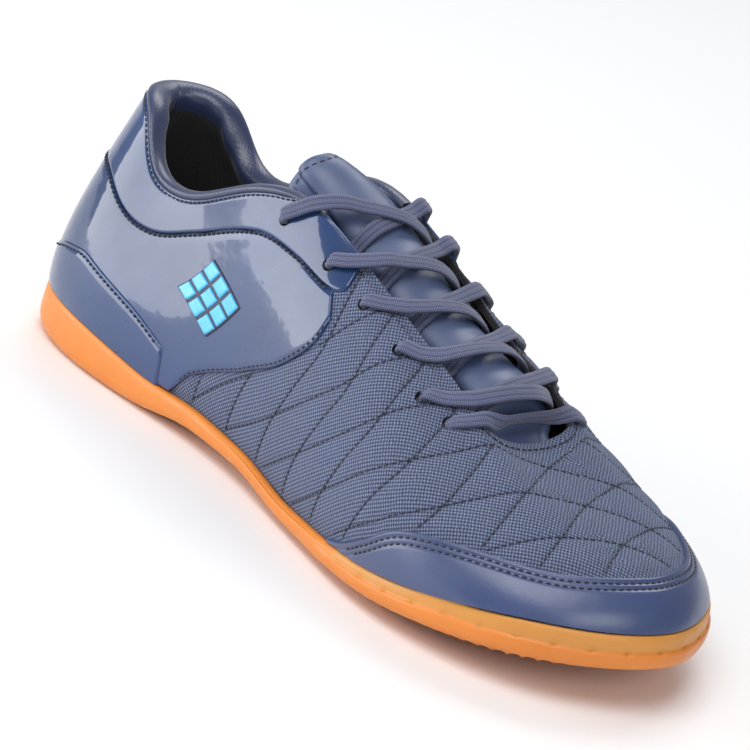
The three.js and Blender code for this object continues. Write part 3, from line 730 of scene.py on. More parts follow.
def weave(finish, cell, stretch=1.0):
    """Plain weave of the cloth's flat coordinates: above zero where the warp lies on top."""
    wobble = finish.math("MULTIPLY", finish.math("SUBTRACT", finish.noise(700, 2), 0.5), 2.4)
    turns = [
        finish.math("ADD", finish.math("MULTIPLY", place, math.pi / size), wobble)
        for place, size in zip(finish.flat(), (cell * stretch, cell))
    ]
    return finish.math("MULTIPLY", *(finish.math("SINE", turn) for turn in turns))


def canvas_finish():
    made = Finish(
        "canvas", srgb(84, 98, 128), 0.88,
        Sheen_Weight=0.25, Sheen_Roughness=0.5, Sheen_Tint=(*srgb(190, 200, 225), 1))
    threads = weave(made, WEAVE_CELL)
    # The darker ground between the threads is painted shade and the lighter raised threads are painted
    # highlight, over the weave's bump; the noise in each is random tone.
    ground = made.mix(made.noise(55, 3), srgb(44, 52, 76), srgb(54, 62, 88))
    raised = made.mix(made.noise(1500, 1), srgb(104, 116, 148), srgb(138, 150, 182))
    weave_color_and_shade = made.mix(made.fit(threads, -0.35, 0.75, 0.0, 1.0), ground, raised)
    # Darker cloth along the seams: partly the dark stitched line, partly painted shade in the quilting and
    # throat seam valleys.
    seam = made.fit(made.value("seam"), 0.1, 0.8, 0.4, 0.0)
    made.color(made.mix(seam, weave_color_and_shade, srgb(38, 46, 72)))
    made.bump(made.fit(threads, -1, 1, 0, 1), 0.35, 0.9)
    made.bump(made.noise(320, 3), 0.25, 0.5)
    return made.material


def patent_finish():
    """Glossy coated synthetic: a dark ground under a clear coat, with slow waves and fine scuffs."""
    base = (30, 56, 100)
    made = Finish(
        "patent", srgb(*base), 0.34,
        Coat_Weight=1.0, Coat_Roughness=0.05, Coat_IOR=1.55, Specular_IOR_Level=0.25)
    made.color(made.mix(made.noise(28, 2), tone(base, 0.86), tone(base, 1.22)))
    made.bump(made.noise(75, 3, 0.5), 0.5, 0.42, coat=True)
    made.bump(made.noise(900, 2), 0.02, 0.35)
    made.rough(made.fit(made.noise(140, 5, 0.7), 0.35, 0.75, 0.26, 0.44))
    return made.material


def synthetic_finish(name, base, roughness, grain=0.06, coat=0.0):
    """Smooth soft leather-like synthetic with a fine pebble grain."""
    made = Finish(name, srgb(*base), roughness, Coat_Weight=coat, Coat_Roughness=0.25, Specular_IOR_Level=0.6)
    made.color(made.mix(made.noise(45, 3), tone(base, 0.90), tone(base, 1.12)))
    made.bump(made.cells(1300, "SMOOTH_F1"), grain, 0.6)
    made.bump(made.noise(120, 3), 0.25, 0.35)
    made.rough(made.fit(made.noise(80, 4), 0.3, 0.7, roughness - 0.06, roughness + 0.08))
    return made.material


def satin_finish():
    """Collar binding: a fine satin with a soft shine along its threads."""
    made = Finish(
        "collar_satin", srgb(44, 54, 88), 0.34,
        Sheen_Weight=0.3, Sheen_Roughness=0.4, Specular_IOR_Level=0.75)
    shade = made.fit(weave(made, 0.35, 3.0), -1, 1, 0, 1)
    made.color(made.mix(shade, srgb(36, 45, 76), srgb(50, 61, 98)))
    made.bump(shade, 0.06, 0.6)
    made.bump(made.noise(90, 3), 0.4, 0.3)
    return made.material


def lining_finish(name, base, cell=0.9):
    """Knitted cloth with small dark holes."""
    made = Finish(name, srgb(*base), 0.95, Sheen_Weight=0.15, Sheen_Roughness=0.6)
    dot = made.fit(made.cells(1 / (cell * MM)), 0.1, 0.5, 1.0, 0.0)
    made.color(made.mix(dot, srgb(*base), tone(base, 0.45)))
    made.bump(dot, -0.25, 0.7)
    made.bump(made.noise(200, 3), 0.2, 0.4)
    return made.material


def rubber_finish(name, base, worn=0.06):
    """Gum rubber: warm, a little see-through at the surface, with faint mould marks and dust."""
    made = Finish(
        name, srgb(*base), 0.42,
        Subsurface_Weight=0.22, Subsurface_Scale=0.004, Subsurface_Radius=(1.0, 0.45, 0.15))
    warm = made.mix(made.noise(35, 3), tone(base, 0.97, 0.93, 0.85), tone(base, 1.05))
    speck = made.fit(made.noise(700, 4, 0.7), 0.60, 0.78, 0.0, worn)
    made.color(made.mix(speck, warm, srgb(150, 96, 48)))
    made.rough(made.fit(made.noise(150, 4), 0.3, 0.7, 0.34, 0.52))
    made.bump(made.noise(420, 3), 0.10, 0.5)
    made.bump(made.noise(60, 2), 0.4, 0.25)
    return made.material


def lace_finish():
    """Flat braid: two diagonal thread directions over lengthwise ribs, with painted shade in the grooves
    between the ribs.
    """
    made = Finish("lace_braid", srgb(88, 98, 134), 0.78, Sheen_Weight=0.3, Sheen_Roughness=0.5)
    u, w = made.flat()
    turns = [made.math(turn, u, w) for turn in ("ADD", "SUBTRACT")]
    ways = [made.math("MULTIPLY", turn, math.pi / BRAID_CELL) for turn in turns]
    shade = made.fit(made.math("MULTIPLY", *(made.math("SINE", way) for way in ways)), -0.8, 0.8, 0, 1)
    threads = made.mix(shade, srgb(50, 56, 88), srgb(112, 118, 156))
    # Darker colour in the grooves between the ribs is painted shade.
    made.color(made.mix(made.fit(made.value("rib"), 0.0, 0.55, 0.75, 0.0), threads, srgb(32, 37, 62)))
    made.bump(shade, 0.22, 0.8)
    return made.material


def thread_finish(name, base):
    made = Finish(name, srgb(*base), 0.7, Sheen_Weight=0.2)
    twist = made.noise(2500, 1)
    made.color(made.mix(twist, tone(base, 0.7), tone(base, 1.3)))
    made.bump(twist, 0.08, 0.6)
    return made.material


def tile_finish():
    made = Finish("badge_tile", srgb(70, 185, 235), 0.32, Coat_Weight=0.6, Coat_Roughness=0.12)
    made.color(made.mix(made.noise(260, 3), srgb(52, 165, 222), srgb(96, 208, 248)))
    made.bump(made.noise(700, 2), 0.03, 0.5)
    return made.material


CANVAS = canvas_finish()
PATENT = patent_finish()
TOE_SYNTHETIC = synthetic_finish("toe_synthetic", (58, 72, 112), 0.36, 0.05, 0.35)
TONGUE_SYNTHETIC = synthetic_finish("tongue_synthetic", (74, 88, 122), 0.44, 0.04, 0.1)
SATIN = satin_finish()
LINING = lining_finish("lining_mesh", (14, 14, 18))
INSOLE = lining_finish("insole_cloth", (38, 40, 52), 0.7)
GUM = rubber_finish("gum_rubber", (220, 134, 54))
GUM_LIP = rubber_finish("gum_rubber_lip", (210, 146, 70), 0.03)
LACE = lace_finish()
DARK_THREAD = thread_finish("dark_thread", (22, 26, 42))
TILE = tile_finish()
BADGE_GROUND = synthetic_finish("badge_ground", (30, 36, 70), 0.4)


def place_piece(obj, slot_name, *nodes):
    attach(obj, "root")
    if nodes:
        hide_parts(*nodes)
    return obj


# Stitches


def stitch_line(points, normals, length=2.2, gap=0.7, radius=THREAD / 2):
    """Stitches laid along a line: short rods whose ends dip into the surface."""
    walk = walked(points)
    count = max(int(walk[-1] / (length + gap)), 1)
    starts = (np.arange(count) + 0.5) * walk[-1] / count - length / 2
    angles = np.arange(STITCH_SIDES) / STITCH_SIDES * 2 * math.pi

    def at(places, data):
        return np.stack([np.interp(places, walk, row) for row in data.T], -1)

    rows = []
    for part, lift in STITCH_PROFILE:
        spot = starts + part * length
        normal = unit(at(spot, normals))
        along = unit(at(spot + 0.05, points) - at(spot - 0.05, points))
        aside = unit(np.cross(along, normal))
        centre = at(spot, points) + normal * (lift * radius * 1.6)
        thick = radius * (0.75 if part in (0.0, 1.0) else 1.0)
        circle = np.stack([aside * math.cos(angle) + normal * math.sin(angle) for angle in angles], 1)
        rows.append(centre[:, None] + circle * thick)
    faces = [face[::-1] for face in capped_tube(len(rows), STITCH_SIDES)]
    return merged([(rod.reshape(-1, 3), faces) for rod in np.stack(rows, 1)])


def wall_stitches(q, v, off, **sizes):
    return stitch_line(skin(q, v, off), shell_normal(q, v), **sizes)


# Upper: canvas shell with quilted relief outside and cloth inside


def along_throat(row, side):
    return EYELETS[row][0 if side < 0 else 1]


def eyelet_centres(off, rows):
    """Centre and direction of each punched hole of the upper rows, in a layer at an offset."""
    found = []
    for row in range(rows):
        for station in (along_throat(row, -1), AROUND - along_throat(row, 1)):
            q, v = beside_edge(station, EYELET_EDGE)
            found.append((skin(q, v, off), shell_normal(q, v)))
    return found


def open_holes(points, faces, marks, holes, radius):
    """Opens round holes in a surface: faces inside go, and the rest closes up to the circle."""
    inside = np.zeros(len(points), bool)
    for centre, normal in holes:
        away = points - centre
        height = away @ normal
        flat = away - height[:, None] * normal
        distance = np.linalg.norm(flat, axis=1)
        near = (np.abs(height) < 4) & (distance < radius)
        inside |= near
        points[near] += (flat * (radius / np.maximum(distance, 1e-6) - 1)[:, None])[near]
    kept = ~inside[faces].all(axis=1)
    return faces[kept], marks[kept]


def hole_tube(centre, normal, radius, low, high):
    """Short wall of a punched hole."""
    side = unit(np.cross(normal, [0.3, 0.2, 1.0]))
    up = np.cross(normal, side)
    angles = np.arange(24) / 24 * 2 * math.pi
    circle = side * np.cos(angles)[:, None] + up * np.sin(angles)[:, None]
    rows = np.stack([centre + circle * radius + normal * h for h in (low, (low + high) / 2, high)], 1)
    return rows.reshape(-1, 3), grid_faces(24, 3, True)


def build_upper():
    heel = np.linspace(-3.6, 3.6, 101)[:-1]
    front = np.linspace(3.6, AROUND - 3.6, 801)[:-1]
    q = np.concatenate([heel, front])
    v = np.concatenate([np.linspace(0, 0.97, 84), [0.985, 1.0]])
    Q, V = np.meshgrid(q, v, indexing="ij")
    side = np.minimum(Q % AROUND, AROUND - Q % AROUND)
    x, w = cloth(Q, V)
    to_top = (1 - V) * wall_length(q)[:, None]
    away_from_top = smooth((to_top - 4.5) / 3.5)
    shown = smooth((side - 3.8) / 0.4)
    under_guard = smooth((toe_guard_top(Q) - V) * 14 + 1.0) * smooth((side - 6.8) / 0.4)
    relief = quilt_height(x, w) * away_from_top * shown * (1 - 0.9 * under_guard)
    stitch_dip = 0.3 * valley(to_top - THROAT_SEAM, 0.8) * shown
    edge = smooth(to_top / 5) * smooth(V / 0.12)
    outside = skin(Q, V, (relief * 0.9 - stitch_dip) * edge)
    inner_v = np.array([1.0, 0.975, 0.95, 0.9, 0.82, 0.72, 0.6, 0.45, 0.3, 0.15, 0.0])
    inside = skin(q[:, None], inner_v[None, :], -UPPER_WALL)
    points, faces, column_at = ring_body(np.concatenate([outside, inside], 1))
    marks = (column_at >= len(v) - 1).astype(int)
    holes = eyelet_centres(-UPPER_WALL / 2, len(EYELETS))
    low, high = -UPPER_WALL / 2 - 0.05, UPPER_WALL / 2 + 0.1
    tube_points, tubes = merged([hole_tube(*hole, EYELET_HOLE / 2, low, high) for hole in holes])
    faces, marks = open_holes(points, faces, marks, holes, EYELET_HOLE / 2)
    # Distance to the nearest seam, kept as the seam value; the canvas finish darkens the cloth near it,
    # partly as the stitched line and partly as painted shade in the seam valleys.
    seam = np.where(away_from_top * shown > 0.5, np.minimum(*quilt_distance(x, w)), FAR)
    seam = np.minimum(seam, np.where(shown > 0.5, np.abs(to_top - THROAT_SEAM) * 1.4, FAR))
    blank = np.full((len(q), len(inner_v)), FAR)
    flat = np.concatenate([np.stack([x, w], -1), np.zeros((len(q), len(inner_v), 2))], 1)
    values = {
        "flat": np.concatenate([flat.reshape(-1, 2), np.zeros((len(tube_points), 2))]),
        "seam": np.concatenate([np.concatenate([seam, blank], 1).ravel(), np.full(len(tube_points), FAR)]),
    }
    obj = make_object(
        "canvas_upper", np.concatenate([points, tube_points]),
        faces.tolist() + [[i + len(points) for i in face] for face in tubes],
        [CANVAS, LINING], marks.tolist() + [1] * len(tubes), values=values)
    return place_piece(obj, "canvas", "upper")


# Overlays: thin sheets on the upper with rolled edges


def roll(distance, radius=0.9):
    """Height share of a rolled edge at a distance from it."""
    t = 1 - np.clip(distance / radius, 0, 1)
    return np.sqrt(np.maximum(1 - t * t, 0))


def clustered(count, edge=0.06):
    """Shares from 0 to 1, closer together at both ends."""
    ends = np.array([0, 0.12, 0.3, 0.55]) * edge
    middle = np.linspace(edge, 1 - edge, count)
    return np.concatenate([ends, middle, 1 - ends[::-1]])


def overlay_grid(stations, foot, top, rows):
    shares = clustered(rows)
    q = np.broadcast_to(stations[:, None], (len(stations), len(shares)))
    low, high = foot(stations)[:, None], top(stations)[:, None]
    v = lerp(low, high, shares[None, :])
    tall = wall_length(stations)[:, None]
    return q, v, (v - low) * tall, (high - v) * tall


def end_distance(stations, q):
    """Distance along the wall from the ends of a strip of stations."""
    walk = walked(skin(stations, 0.5))
    place = np.interp(q, stations, walk)
    return np.minimum(place, walk[-1] - place)


def clustered_stations(start, end, count):
    ends = np.array([0, 0.006, 0.015, 0.03])
    return np.concatenate([start + ends, np.linspace(start + 0.05, end - 0.05, count), end - ends[::-1]])


def overlay_piece(
        name, slot_name, node, stations, foot, top, near, thick, rows, finish, dips,
        rolled_foot=False, holes=()):
    """A sheet on the upper between two edges, with a rolled rim; dips gives the depth of its seams."""
    q, v, from_foot, from_top = overlay_grid(stations, foot, top, rows)
    height = roll(from_top) * roll(end_distance(stations, q))
    if rolled_foot:
        height = height * roll(from_foot)
    outside = skin(q, v, near + thick * height - dips(q, from_foot, from_top))
    points, faces, marks = sheet_body(outside, skin(q, v, near - 0.15))
    if holes:
        faces, marks = open_holes(points, faces, marks, holes, EYELET_HOLE / 2)
    flat = np.concatenate([np.stack(cloth(q, v), -1).reshape(-1, 2)] * 2)
    place_piece(make_object(name, points, faces, [finish], values={"flat": flat}), slot_name, node)


def build_toe_guard():
    end = 7.0

    def dips(q, from_foot, from_top):
        return 0.4 * sum(valley(from_top - inset) for inset in TOE_SEAMS)

    overlay_piece(
        "toe_guard_cap", "synthetic", "toe_guard", clustered_stations(end, AROUND - end, 330),
        over_sole, toe_guard_top, SKIN_GAP - 0.3, 1.4, 34, TOE_SYNTHETIC, dips)
    line = np.linspace(end + 0.25, AROUND - end - 0.25, 500)
    parts = []
    for inset in TOE_SEAMS:
        v = toe_guard_top(line) - inset / wall_length(line)
        keep = v > over_sole(line) + 0.02
        parts.append(wall_stitches(line[keep], v[keep], 1.0, length=1.7, gap=0.6, radius=0.3))
    return parts


def build_quarter():
    front = 6 + 2 / 3

    def foot(q):
        return np.maximum(over_sole(q), np.minimum(quarter_foot(q), collar_seam(q) - 0.05))

    def top(q):
        return collar_seam(q) - CLEAR / 2 / wall_length(q)

    def dips(q, from_foot, from_top):
        edge = np.minimum(from_top, np.where(np.abs(q) > 4.15, from_foot, FAR))
        return 0.25 * valley(edge - QUARTER_STITCHES, 0.6)

    overlay_piece(
        "quarter_panel_patent", "gloss_synthetic", "quarter_panel", clustered_stations(-front, front, 300),
        foot, top, SKIN_GAP, 1.0, 56, PATENT, dips, rolled_foot=True)
    line = np.linspace(-front + 0.12, front - 0.12, 500)
    v = collar_seam(line) - 0.7 / wall_length(line)
    parts = [wall_stitches(line, v, 1.15, length=1.5, gap=0.6, radius=0.36)]
    for side in (1, -1):
        edge = np.linspace(4.25, front - 0.1, 160) * side
        v = quarter_foot(edge) + QUARTER_STITCHES / wall_length(edge)
        parts.append(wall_stitches(edge, v, 1.0, length=1.5, gap=0.6, radius=0.3))
    return parts


def build_collar_panel():
    front = 7 + 1 / 3

    def foot(q):
        return collar_seam(q) + CLEAR / 2 / wall_length(q)

    def top(q):
        binding = 1 - smooth((np.abs(q) - 5.6) / 0.5)
        return 1 - binding * COLLAR_EDGE / wall_length(q)

    def dips(q, from_foot, from_top):
        return 0.25 * valley(from_top - COLLAR_STITCHES, 0.6)

    overlay_piece(
        "collar_panel_patent", "gloss_synthetic", "collar_panel", clustered_stations(-front, front, 340),
        foot, top, SKIN_GAP, 1.0, 40, PATENT, dips, True, eyelet_centres(SKIN_GAP, PANEL_EYELETS))
    line = np.linspace(-5.9, 5.9, 600)
    v = top(line) - COLLAR_STITCHES / wall_length(line)
    return [wall_stitches(line, v, 1.2, length=1.5, gap=0.55)]


def build_counter():
    near = 2 * SKIN_GAP + OVERLAY_WALL

    def dips(q, from_foot, from_top):
        return 0.3 * valley(from_top - COUNTER_STITCHES, 0.6)

    overlay_piece(
        "heel_counter_patent", "gloss_synthetic", "heel_counter", clustered_stations(-4.0, 4.0, 200),
        over_sole, counter_top, near - 0.7, 0.9, 30, PATENT, dips)
    line = np.linspace(-3.9, 3.9, 400)
    v = counter_top(line) - COUNTER_STITCHES / wall_length(line)
    return [wall_stitches(line, v, near + 0.1, length=1.2, gap=1.0, radius=0.25)]


def build_throat_stitches():
    """Row of stitches round the throat."""
    line = np.linspace(7.5, AROUND - 7.5, 700)
    return [wall_stitches(*beside_edge(line, THROAT_SEAM), 0.05, length=1.8, gap=0.6, radius=0.2)]


def shows_canvas(q, v):
    """True where no overlay, binding or row of stitches covers the canvas."""
    side = np.minimum(q, AROUND - q)
    shown = (side > 4.25) & (v > over_sole(q) + 0.01) & ((1 - v) * wall_length(q) > 4.2)
    shown &= ~((side < 6.8) & (v > quarter_foot(q) - 0.012))
    shown &= ~((side > 6.6) & (side < 7.45) & (v > collar_seam(q) - 0.02))
    return shown & ((side < 7) | (v > toe_guard_top(q) + 0.012))


def build_quilt_threads():
    """Dark stitches along every quilting seam of both families."""
    parts = []
    around = np.arange(-100, 100.5, 1.0)
    for sign in (1, -1):
        for seam in range(-3, 11):
            x = QUILT_START + seam * QUILT_PERIOD + quilt_wave(sign * around)
            q, v = cloth.locate(x, around + 1e-3)
            shown = ~np.isnan(q)
            shown[shown] = shows_canvas(q[shown], v[shown])
            breaks = np.flatnonzero(np.diff(shown.astype(int))) + 1
            for run in np.split(np.arange(len(around)), breaks):
                if shown[run[0]] and len(run) > 4:
                    parts.append(wall_stitches(q[run], v[run], -0.1, length=1.7, gap=0.5, radius=0.21))
    return parts


# Collar: satin roll over the rim, padded lining below it


def build_collar():
    front = 6.35
    stations = clustered_stations(-front, front, 380)
    taper = 0.22 + 0.78 * smooth((front - np.abs(stations)) / 1.6)
    tall = wall_length(stations)
    near = UPPER_WALL + CLEAR
    # Section from the outer seam, over the rim and down inside
    section = [
        # depth under the rim, offset from the wall, share of the padding
        (COLLAR_EDGE + 0.25, SKIN_GAP + 0.1, 0.0),
        (COLLAR_EDGE - 0.2, SKIN_GAP + 0.75, 0.0),
        (COLLAR_EDGE - 1.2, SKIN_GAP + 1.05, 0.0),
        (0.6, SKIN_GAP + 0.85, 0.0),
        (0.0, SKIN_GAP + 0.35, 0.0),
        (-0.9, -0.5, 0.10),
        (-1.1, -near, 0.35),
        (-0.4, -near, 0.70),
        (1.2, -near, 0.92),
        (3.5, -near, 1.0),
        (6.5, -near, 1.0),
        (9.5, -near, 0.93),
        (13.0, -near, 0.74),
        (17.5, -near, 0.46),
        (23.0, -near, 0.30),
        (30.0, -near, 0.24),
        (40.0, -near, 0.20),
    ]
    fine = spline(section, 46)
    shown, hidden = [], []
    for depth, off, padding in fine:
        v = np.clip(1 - np.maximum(depth, 0) / tall, 0.34, 1)
        above = np.maximum(-depth, 0)
        spot = skin(stations, v, off - padding * LINING_PAD * taper)
        spot[:, 2] += above * (0.5 + 0.5 * taper)
        shown.append(spot)
        spot = skin(stations, v, min(off, SKIN_GAP) - 0.25 if off > -0.6 else -near)
        spot[:, 2] += above * 0.35
        hidden.append(spot)
    outer = np.stack(shown, 1)
    outwards = shell_normal(stations, np.full(stations.shape, 0.9))
    creases = 0.25 * np.sin(stations * 9.0) * valley(np.abs(stations) - 2.2, math.sqrt(0.8))
    heel_seam = 0.5 * valley(stations, 0.12)
    for columns, height in ((slice(8, 20), creases), (slice(6, 40), heel_seam)):
        outer[:, columns] += (outwards * height[:, None])[:, None, :]
    points, faces, _ = sheet_body(np.stack(hidden, 1), outer)
    faces = faces[:, ::-1]
    is_lining = (fine[:, 1] < -1) & (fine[:, 0] > SATIN_DEPTH)
    face_lining = np.tile(is_lining, len(stations) * 2)[faces].all(axis=1).astype(int)
    lengths = np.broadcast_arrays(walked(skin(stations, 1))[:, None], walked(fine[:, :2])[None, :])
    flat = np.concatenate([np.stack(lengths, -1).reshape(-1, 2)] * 2)
    obj = make_object(
        "collar_roll_and_lining", points, faces, [SATIN, LINING], face_lining, values={"flat": flat})
    place_piece(obj, "lining", "collar_lining")


# Tongue


def tongue_drop(t, arch):
    """Depth of the tongue's face under the throat; where it arches, its flanks lie deeper."""
    start = UPPER_WALL + 2 * CLEAR + LACE_THICKNESS
    arched = lerp(2.2 * LACE_THICKNESS, start + TONGUE_SAG, np.minimum(np.abs(t), 1) ** 2)
    return lerp(start, arched, arch)


def tongue_rows():
    """Rows from root to tip: a place for each t across and depth, the thickness and the arch."""
    rows = []

    def in_shell(v):
        return lambda t, deep: skin(TOE + t * 0.75, np.full(t.shape, v), -deep)

    def over(q, flank):
        def place(t, deep):
            beyond = np.maximum(np.abs(t) - 1, 0) * flank
            return over_throat(q, np.sign(t) * (np.minimum(np.abs(t), 1) + beyond), -deep)

        return place

    rows.append((in_shell(0.86), 0.7, 0.0))
    rows.append((in_shell(0.93), 0.7, 0.0))
    for q in (11.2, 10.8, 10.0, 9.2, 8.4, 7.6, 6.9, 6.4):
        flank = 0.35 if q > 11 else 0.7 if q > 10.5 else 1.0
        rows.append((over(q, flank), 1.0, smooth((11.3 - q) / 1.2)))
    base = 6.4
    climb = unit(over_throat(base, 0, 0) - over_throat(base + 0.6, 0, 0))
    far = TONGUE_RISE + np.linalg.norm(over_throat(base, 0, 0) - over_throat(5.8, 0, 0))

    def free(part, narrow):
        lift = climb * far * part - np.array([0, TONGUE_LEAN * part**2, 0])

        def place(t, deep):
            middle = over_throat(base, 0, -deep)
            return (over_throat(base, t, -deep) - middle) * narrow + middle + lift

        return place

    for part, narrow in ((0.25, 0.95), (0.5, 0.88), (0.75, 0.79), (0.92, 0.66), (1.0, 0.48)):
        rows.append((free(part, narrow), 1.2, 1.0))
    return rows


def nearest(values, wanted):
    return int(np.argmin(np.abs(values - wanted)))


def tongue_stitches(front, normal, side, to_tip):
    """Stitches round the tongue's free end, inside its edge."""
    start = int(len(front) * 0.45)
    tip_row = nearest(to_tip[:, front.shape[1] // 2], TONGUE_SEAM)
    other_side = side[:, -1:] - side
    path = [(row, nearest(side[row], TONGUE_SEAM)) for row in range(start, tip_row)]
    first, last = nearest(side[tip_row], TONGUE_SEAM), nearest(other_side[tip_row], TONGUE_SEAM)
    path += [(tip_row, column_at) for column_at in range(first, last + 1)]
    path += [(row, nearest(other_side[row], TONGUE_SEAM)) for row in range(tip_row - 1, start, -1)]
    row_at, column_at = np.array(path).T
    line = spline(smoothed(front[row_at, column_at], 5), 260)
    return [stitch_line(line, spline(normal[row_at, column_at], 260), length=2.0, gap=0.7, radius=0.2)]


def build_tongue():
    t = np.linspace(-1.16, 0.80, 61)
    faces_of_rows = [[], []]
    for place, thick, arch in tongue_rows():
        for found, depth in zip(faces_of_rows, (0, TONGUE_THICKNESS * thick)):
            found.append(place(t, tongue_drop(t, arch) + depth))
    front, back = (
        np.stack([spline(np.stack(found)[:, k], 110) for k in range(len(t))], 1) for found in faces_of_rows)
    normal = unit(front - back)
    half = np.linalg.norm(front - back, axis=-1) / 2
    side = np.cumsum(np.linalg.norm(np.diff(front, axis=1, prepend=front[:, :1]), axis=-1), axis=1)
    from_tip = front[::-1]
    steps = np.linalg.norm(np.diff(from_tip, axis=0, prepend=from_tip[:1]), axis=-1)
    to_tip = np.cumsum(steps, axis=0)[::-1]
    to_edge = np.minimum(np.minimum(side, side[:, -1:] - side), to_tip)
    puff = 0.7 * smooth(to_edge / 9) - 0.35 * valley(to_edge - TONGUE_SEAM, 0.7)
    middle = (front + back) / 2
    thickness = half * roll(to_edge, 2.6)
    front = middle + normal * (thickness + puff * (to_edge > 0.2))[..., None]
    back = middle - normal * thickness[..., None]
    points, faces, marks = sheet_body(front, back)
    flat = np.concatenate([np.stack([to_tip, side], -1).reshape(-1, 2)] * 2)
    obj = make_object(
        "tongue_pad", points, faces[:, ::-1], [TONGUE_SYNTHETIC, LINING], marks, values={"flat": flat})
    place_piece(obj, "tongue_synthetic", "tongue")
    return tongue_stitches(front, normal, side, to_tip)


def smoothed(points, passes):
    p = points.copy()
    for _ in range(passes):
        p[1:-1] = (p[:-2] + 2 * p[1:-1] + p[2:]) / 4
    return p


# Laces


EYELET_PLACE = 1 + EYELET_EDGE / FLANK_LENGTH


def lace_section(count=24):
    """Soft flat section with three lengthwise ribs: across, through and depth of the ribs."""
    angle = np.arange(count) / count * 2 * math.pi
    c, s = np.cos(angle), np.sin(angle)
    across = np.sign(c) * np.abs(c) ** 0.75
    through = np.sign(s) * np.abs(s) ** 0.8
    # rib is 1 on top of a rib and 0 in a groove; the lace finish paints shade in the grooves from it.
    rib = 0.5 - 0.5 * np.cos(across * 3 * math.pi + math.pi)
    ribbed = 1 - 0.16 * (1 - rib) * (np.abs(s) > 0.25)
    return across, through * ribbed, rib


def lace_strand(spots, widths, thicknesses, headings, normals):
    """Flat lace along spots; headings run along the wall and stay clear of the normals."""
    across, through, rib = lace_section()
    along = unit(np.gradient(spots, axis=0))
    aside = unit(np.cross(headings, normals))
    face = unit(np.cross(aside, along))
    rings = spots[:, None] + aside[:, None] * (across[None, :, None] * widths[:, None, None] / 2)
    rings = rings + face[:, None] * (through[None, :, None] * thicknesses[:, None, None] / 2)
    shape = rings.shape[:2]
    flat = np.stack(np.broadcast_arrays(walked(spots)[:, None], (across * LACE_WIDTH / 2)[None, :]), -1)
    return rings.reshape(-1, 3), capped_tube(*shape), flat.reshape(-1, 2), np.broadcast_to(rib, shape).ravel()


def lace_along(route, side, wobble=0.0):
    """Strand through a route of stations, places across the throat, offsets, widths and thicknesses."""
    count = 110
    q, t, off, width, thick = spline(route, count).T
    t = t * side
    base = over_throat(q, np.clip(t, -1.10, 1.10), 0.0)
    headings = smoothed(np.gradient(smoothed(base, 8), axis=0), 8)
    # Where the route stands still, the heading is taken from both sides of that place
    places = np.arange(count)
    moves = np.linalg.norm(headings, axis=1) > 0.02
    headings = unit(np.stack([np.interp(places, places[moves], row[moves]) for row in headings.T], -1))
    normals = unit(smoothed(bridge_normal(q, t), 6))
    sway = np.sin(np.linspace(0, math.pi * 2, count)) * wobble
    spots = over_throat(q, t, off) + unit(np.cross(headings, normals)) * sway[:, None]
    return lace_strand(smoothed(spots, 3), width, thick, headings, normals)


def rest_over(row):
    """Height of the wall's outer face where a lace rests beside its hole."""
    return 2 * CLEAR + (SKIN_GAP + OVERLAY_WALL if row < PANEL_EYELETS else 0)


def crossing_route(row, side, lift):
    """From under one edge of the throat, over the tongue and into this row's eyelet."""
    start, end = along_throat(row + 1, -side) - 0.16, along_throat(row, side)
    start += 0.25 - 0.12 * row if side < 0 else -0.06 * row
    under = -UPPER_WALL - 4 * CLEAR - LACE_THICKNESS
    over = rest_over(row) + 0.6
    path = [
        # across, height, width, thickness
        (-1.06, under, 4.8, 1.3),
        (-0.93, under, 5.0, 1.3),
        (-0.80, 0.95 * under, 5.2, 1.3),
        (-0.60, 0.52 * under, 5.3, 1.5),
        (-0.34, -0.3, 5.3, 1.6),
        (-0.12, lift * 0.8 + 0.2, 5.2, 1.5),
        (0.06, lift + 0.4, 5.2, 1.5),
        (0.24, lift + 0.3, 5.2, 1.6),
        (0.42, 0.6 * lift + 0.7, 5.3, 1.7),
        (0.60, over - 0.1, 5.4, 1.8),
        (0.74, over + 0.4, 5.4, 1.9),
        (0.90, over + 0.7, 5.3, 1.9),
        (1.04, over + 0.5, 4.9, 2.0),
    ]
    at_edge = end + (0.4 if side < 0 else -0.05)
    crossed = [(t - path[0][0]) / (1 - path[0][0]) for t, *_ in path]
    ahead = [lerp(start, at_edge, part) if part < 1 else lerp(at_edge, end, 0.35) for part in crossed]
    route = [(q, *spot) for q, spot in zip(ahead, path)]
    return route + [(end, *spot) for spot in hole_route(over)]


def hole_route(over):
    """A lace's last run, down through its hole: across, height, width and thickness."""
    return [
        (EYELET_PLACE - 0.025, over + 0.2, 4.6, 2.4),
        (EYELET_PLACE, -0.6, 3.6, 2.8),
        (EYELET_PLACE + 0.004, -2.0, 3.3, 2.7),
        (EYELET_PLACE + 0.004, -3.0, 3.2, 2.4),
    ]


def build_laces():
    for row in range(len(EYELETS) - 1):
        parts = [
            lace_along(crossing_route(row, 1, -0.5), 1, 0.4),
            lace_along(crossing_route(row, -1, 1.3), -1, 0.5),
        ]
        lace_piece(f"lace_run_{row + 1}", parts, f"lace_cross_{row + 1}")
    row = len(EYELETS) - 1
    over = rest_over(row) + 0.6
    half = hole_route(over)[::-1] + [
        (1.04, over + 0.6, 4.9, 2.2),
        (0.95, over + 0.8, 5.4, 2.0),
        (0.75, over + 0.9, 5.5, 1.9),
        (0.35, over + 0.3, 5.5, 1.8),
    ]
    places = [(-t, *rest) for t, *rest in half] + [(0.0, over + 0.1, 5.5, 1.8)] + half[::-1]
    first, last = along_throat(row, -1), along_throat(row, 1)
    route = [(lerp(first, last, (t / EYELET_PLACE + 1) / 2), t, *rest) for t, *rest in places]
    lace_piece("lace_run_bar", [lace_along(route, 1, 0.4)], "lace_bar")


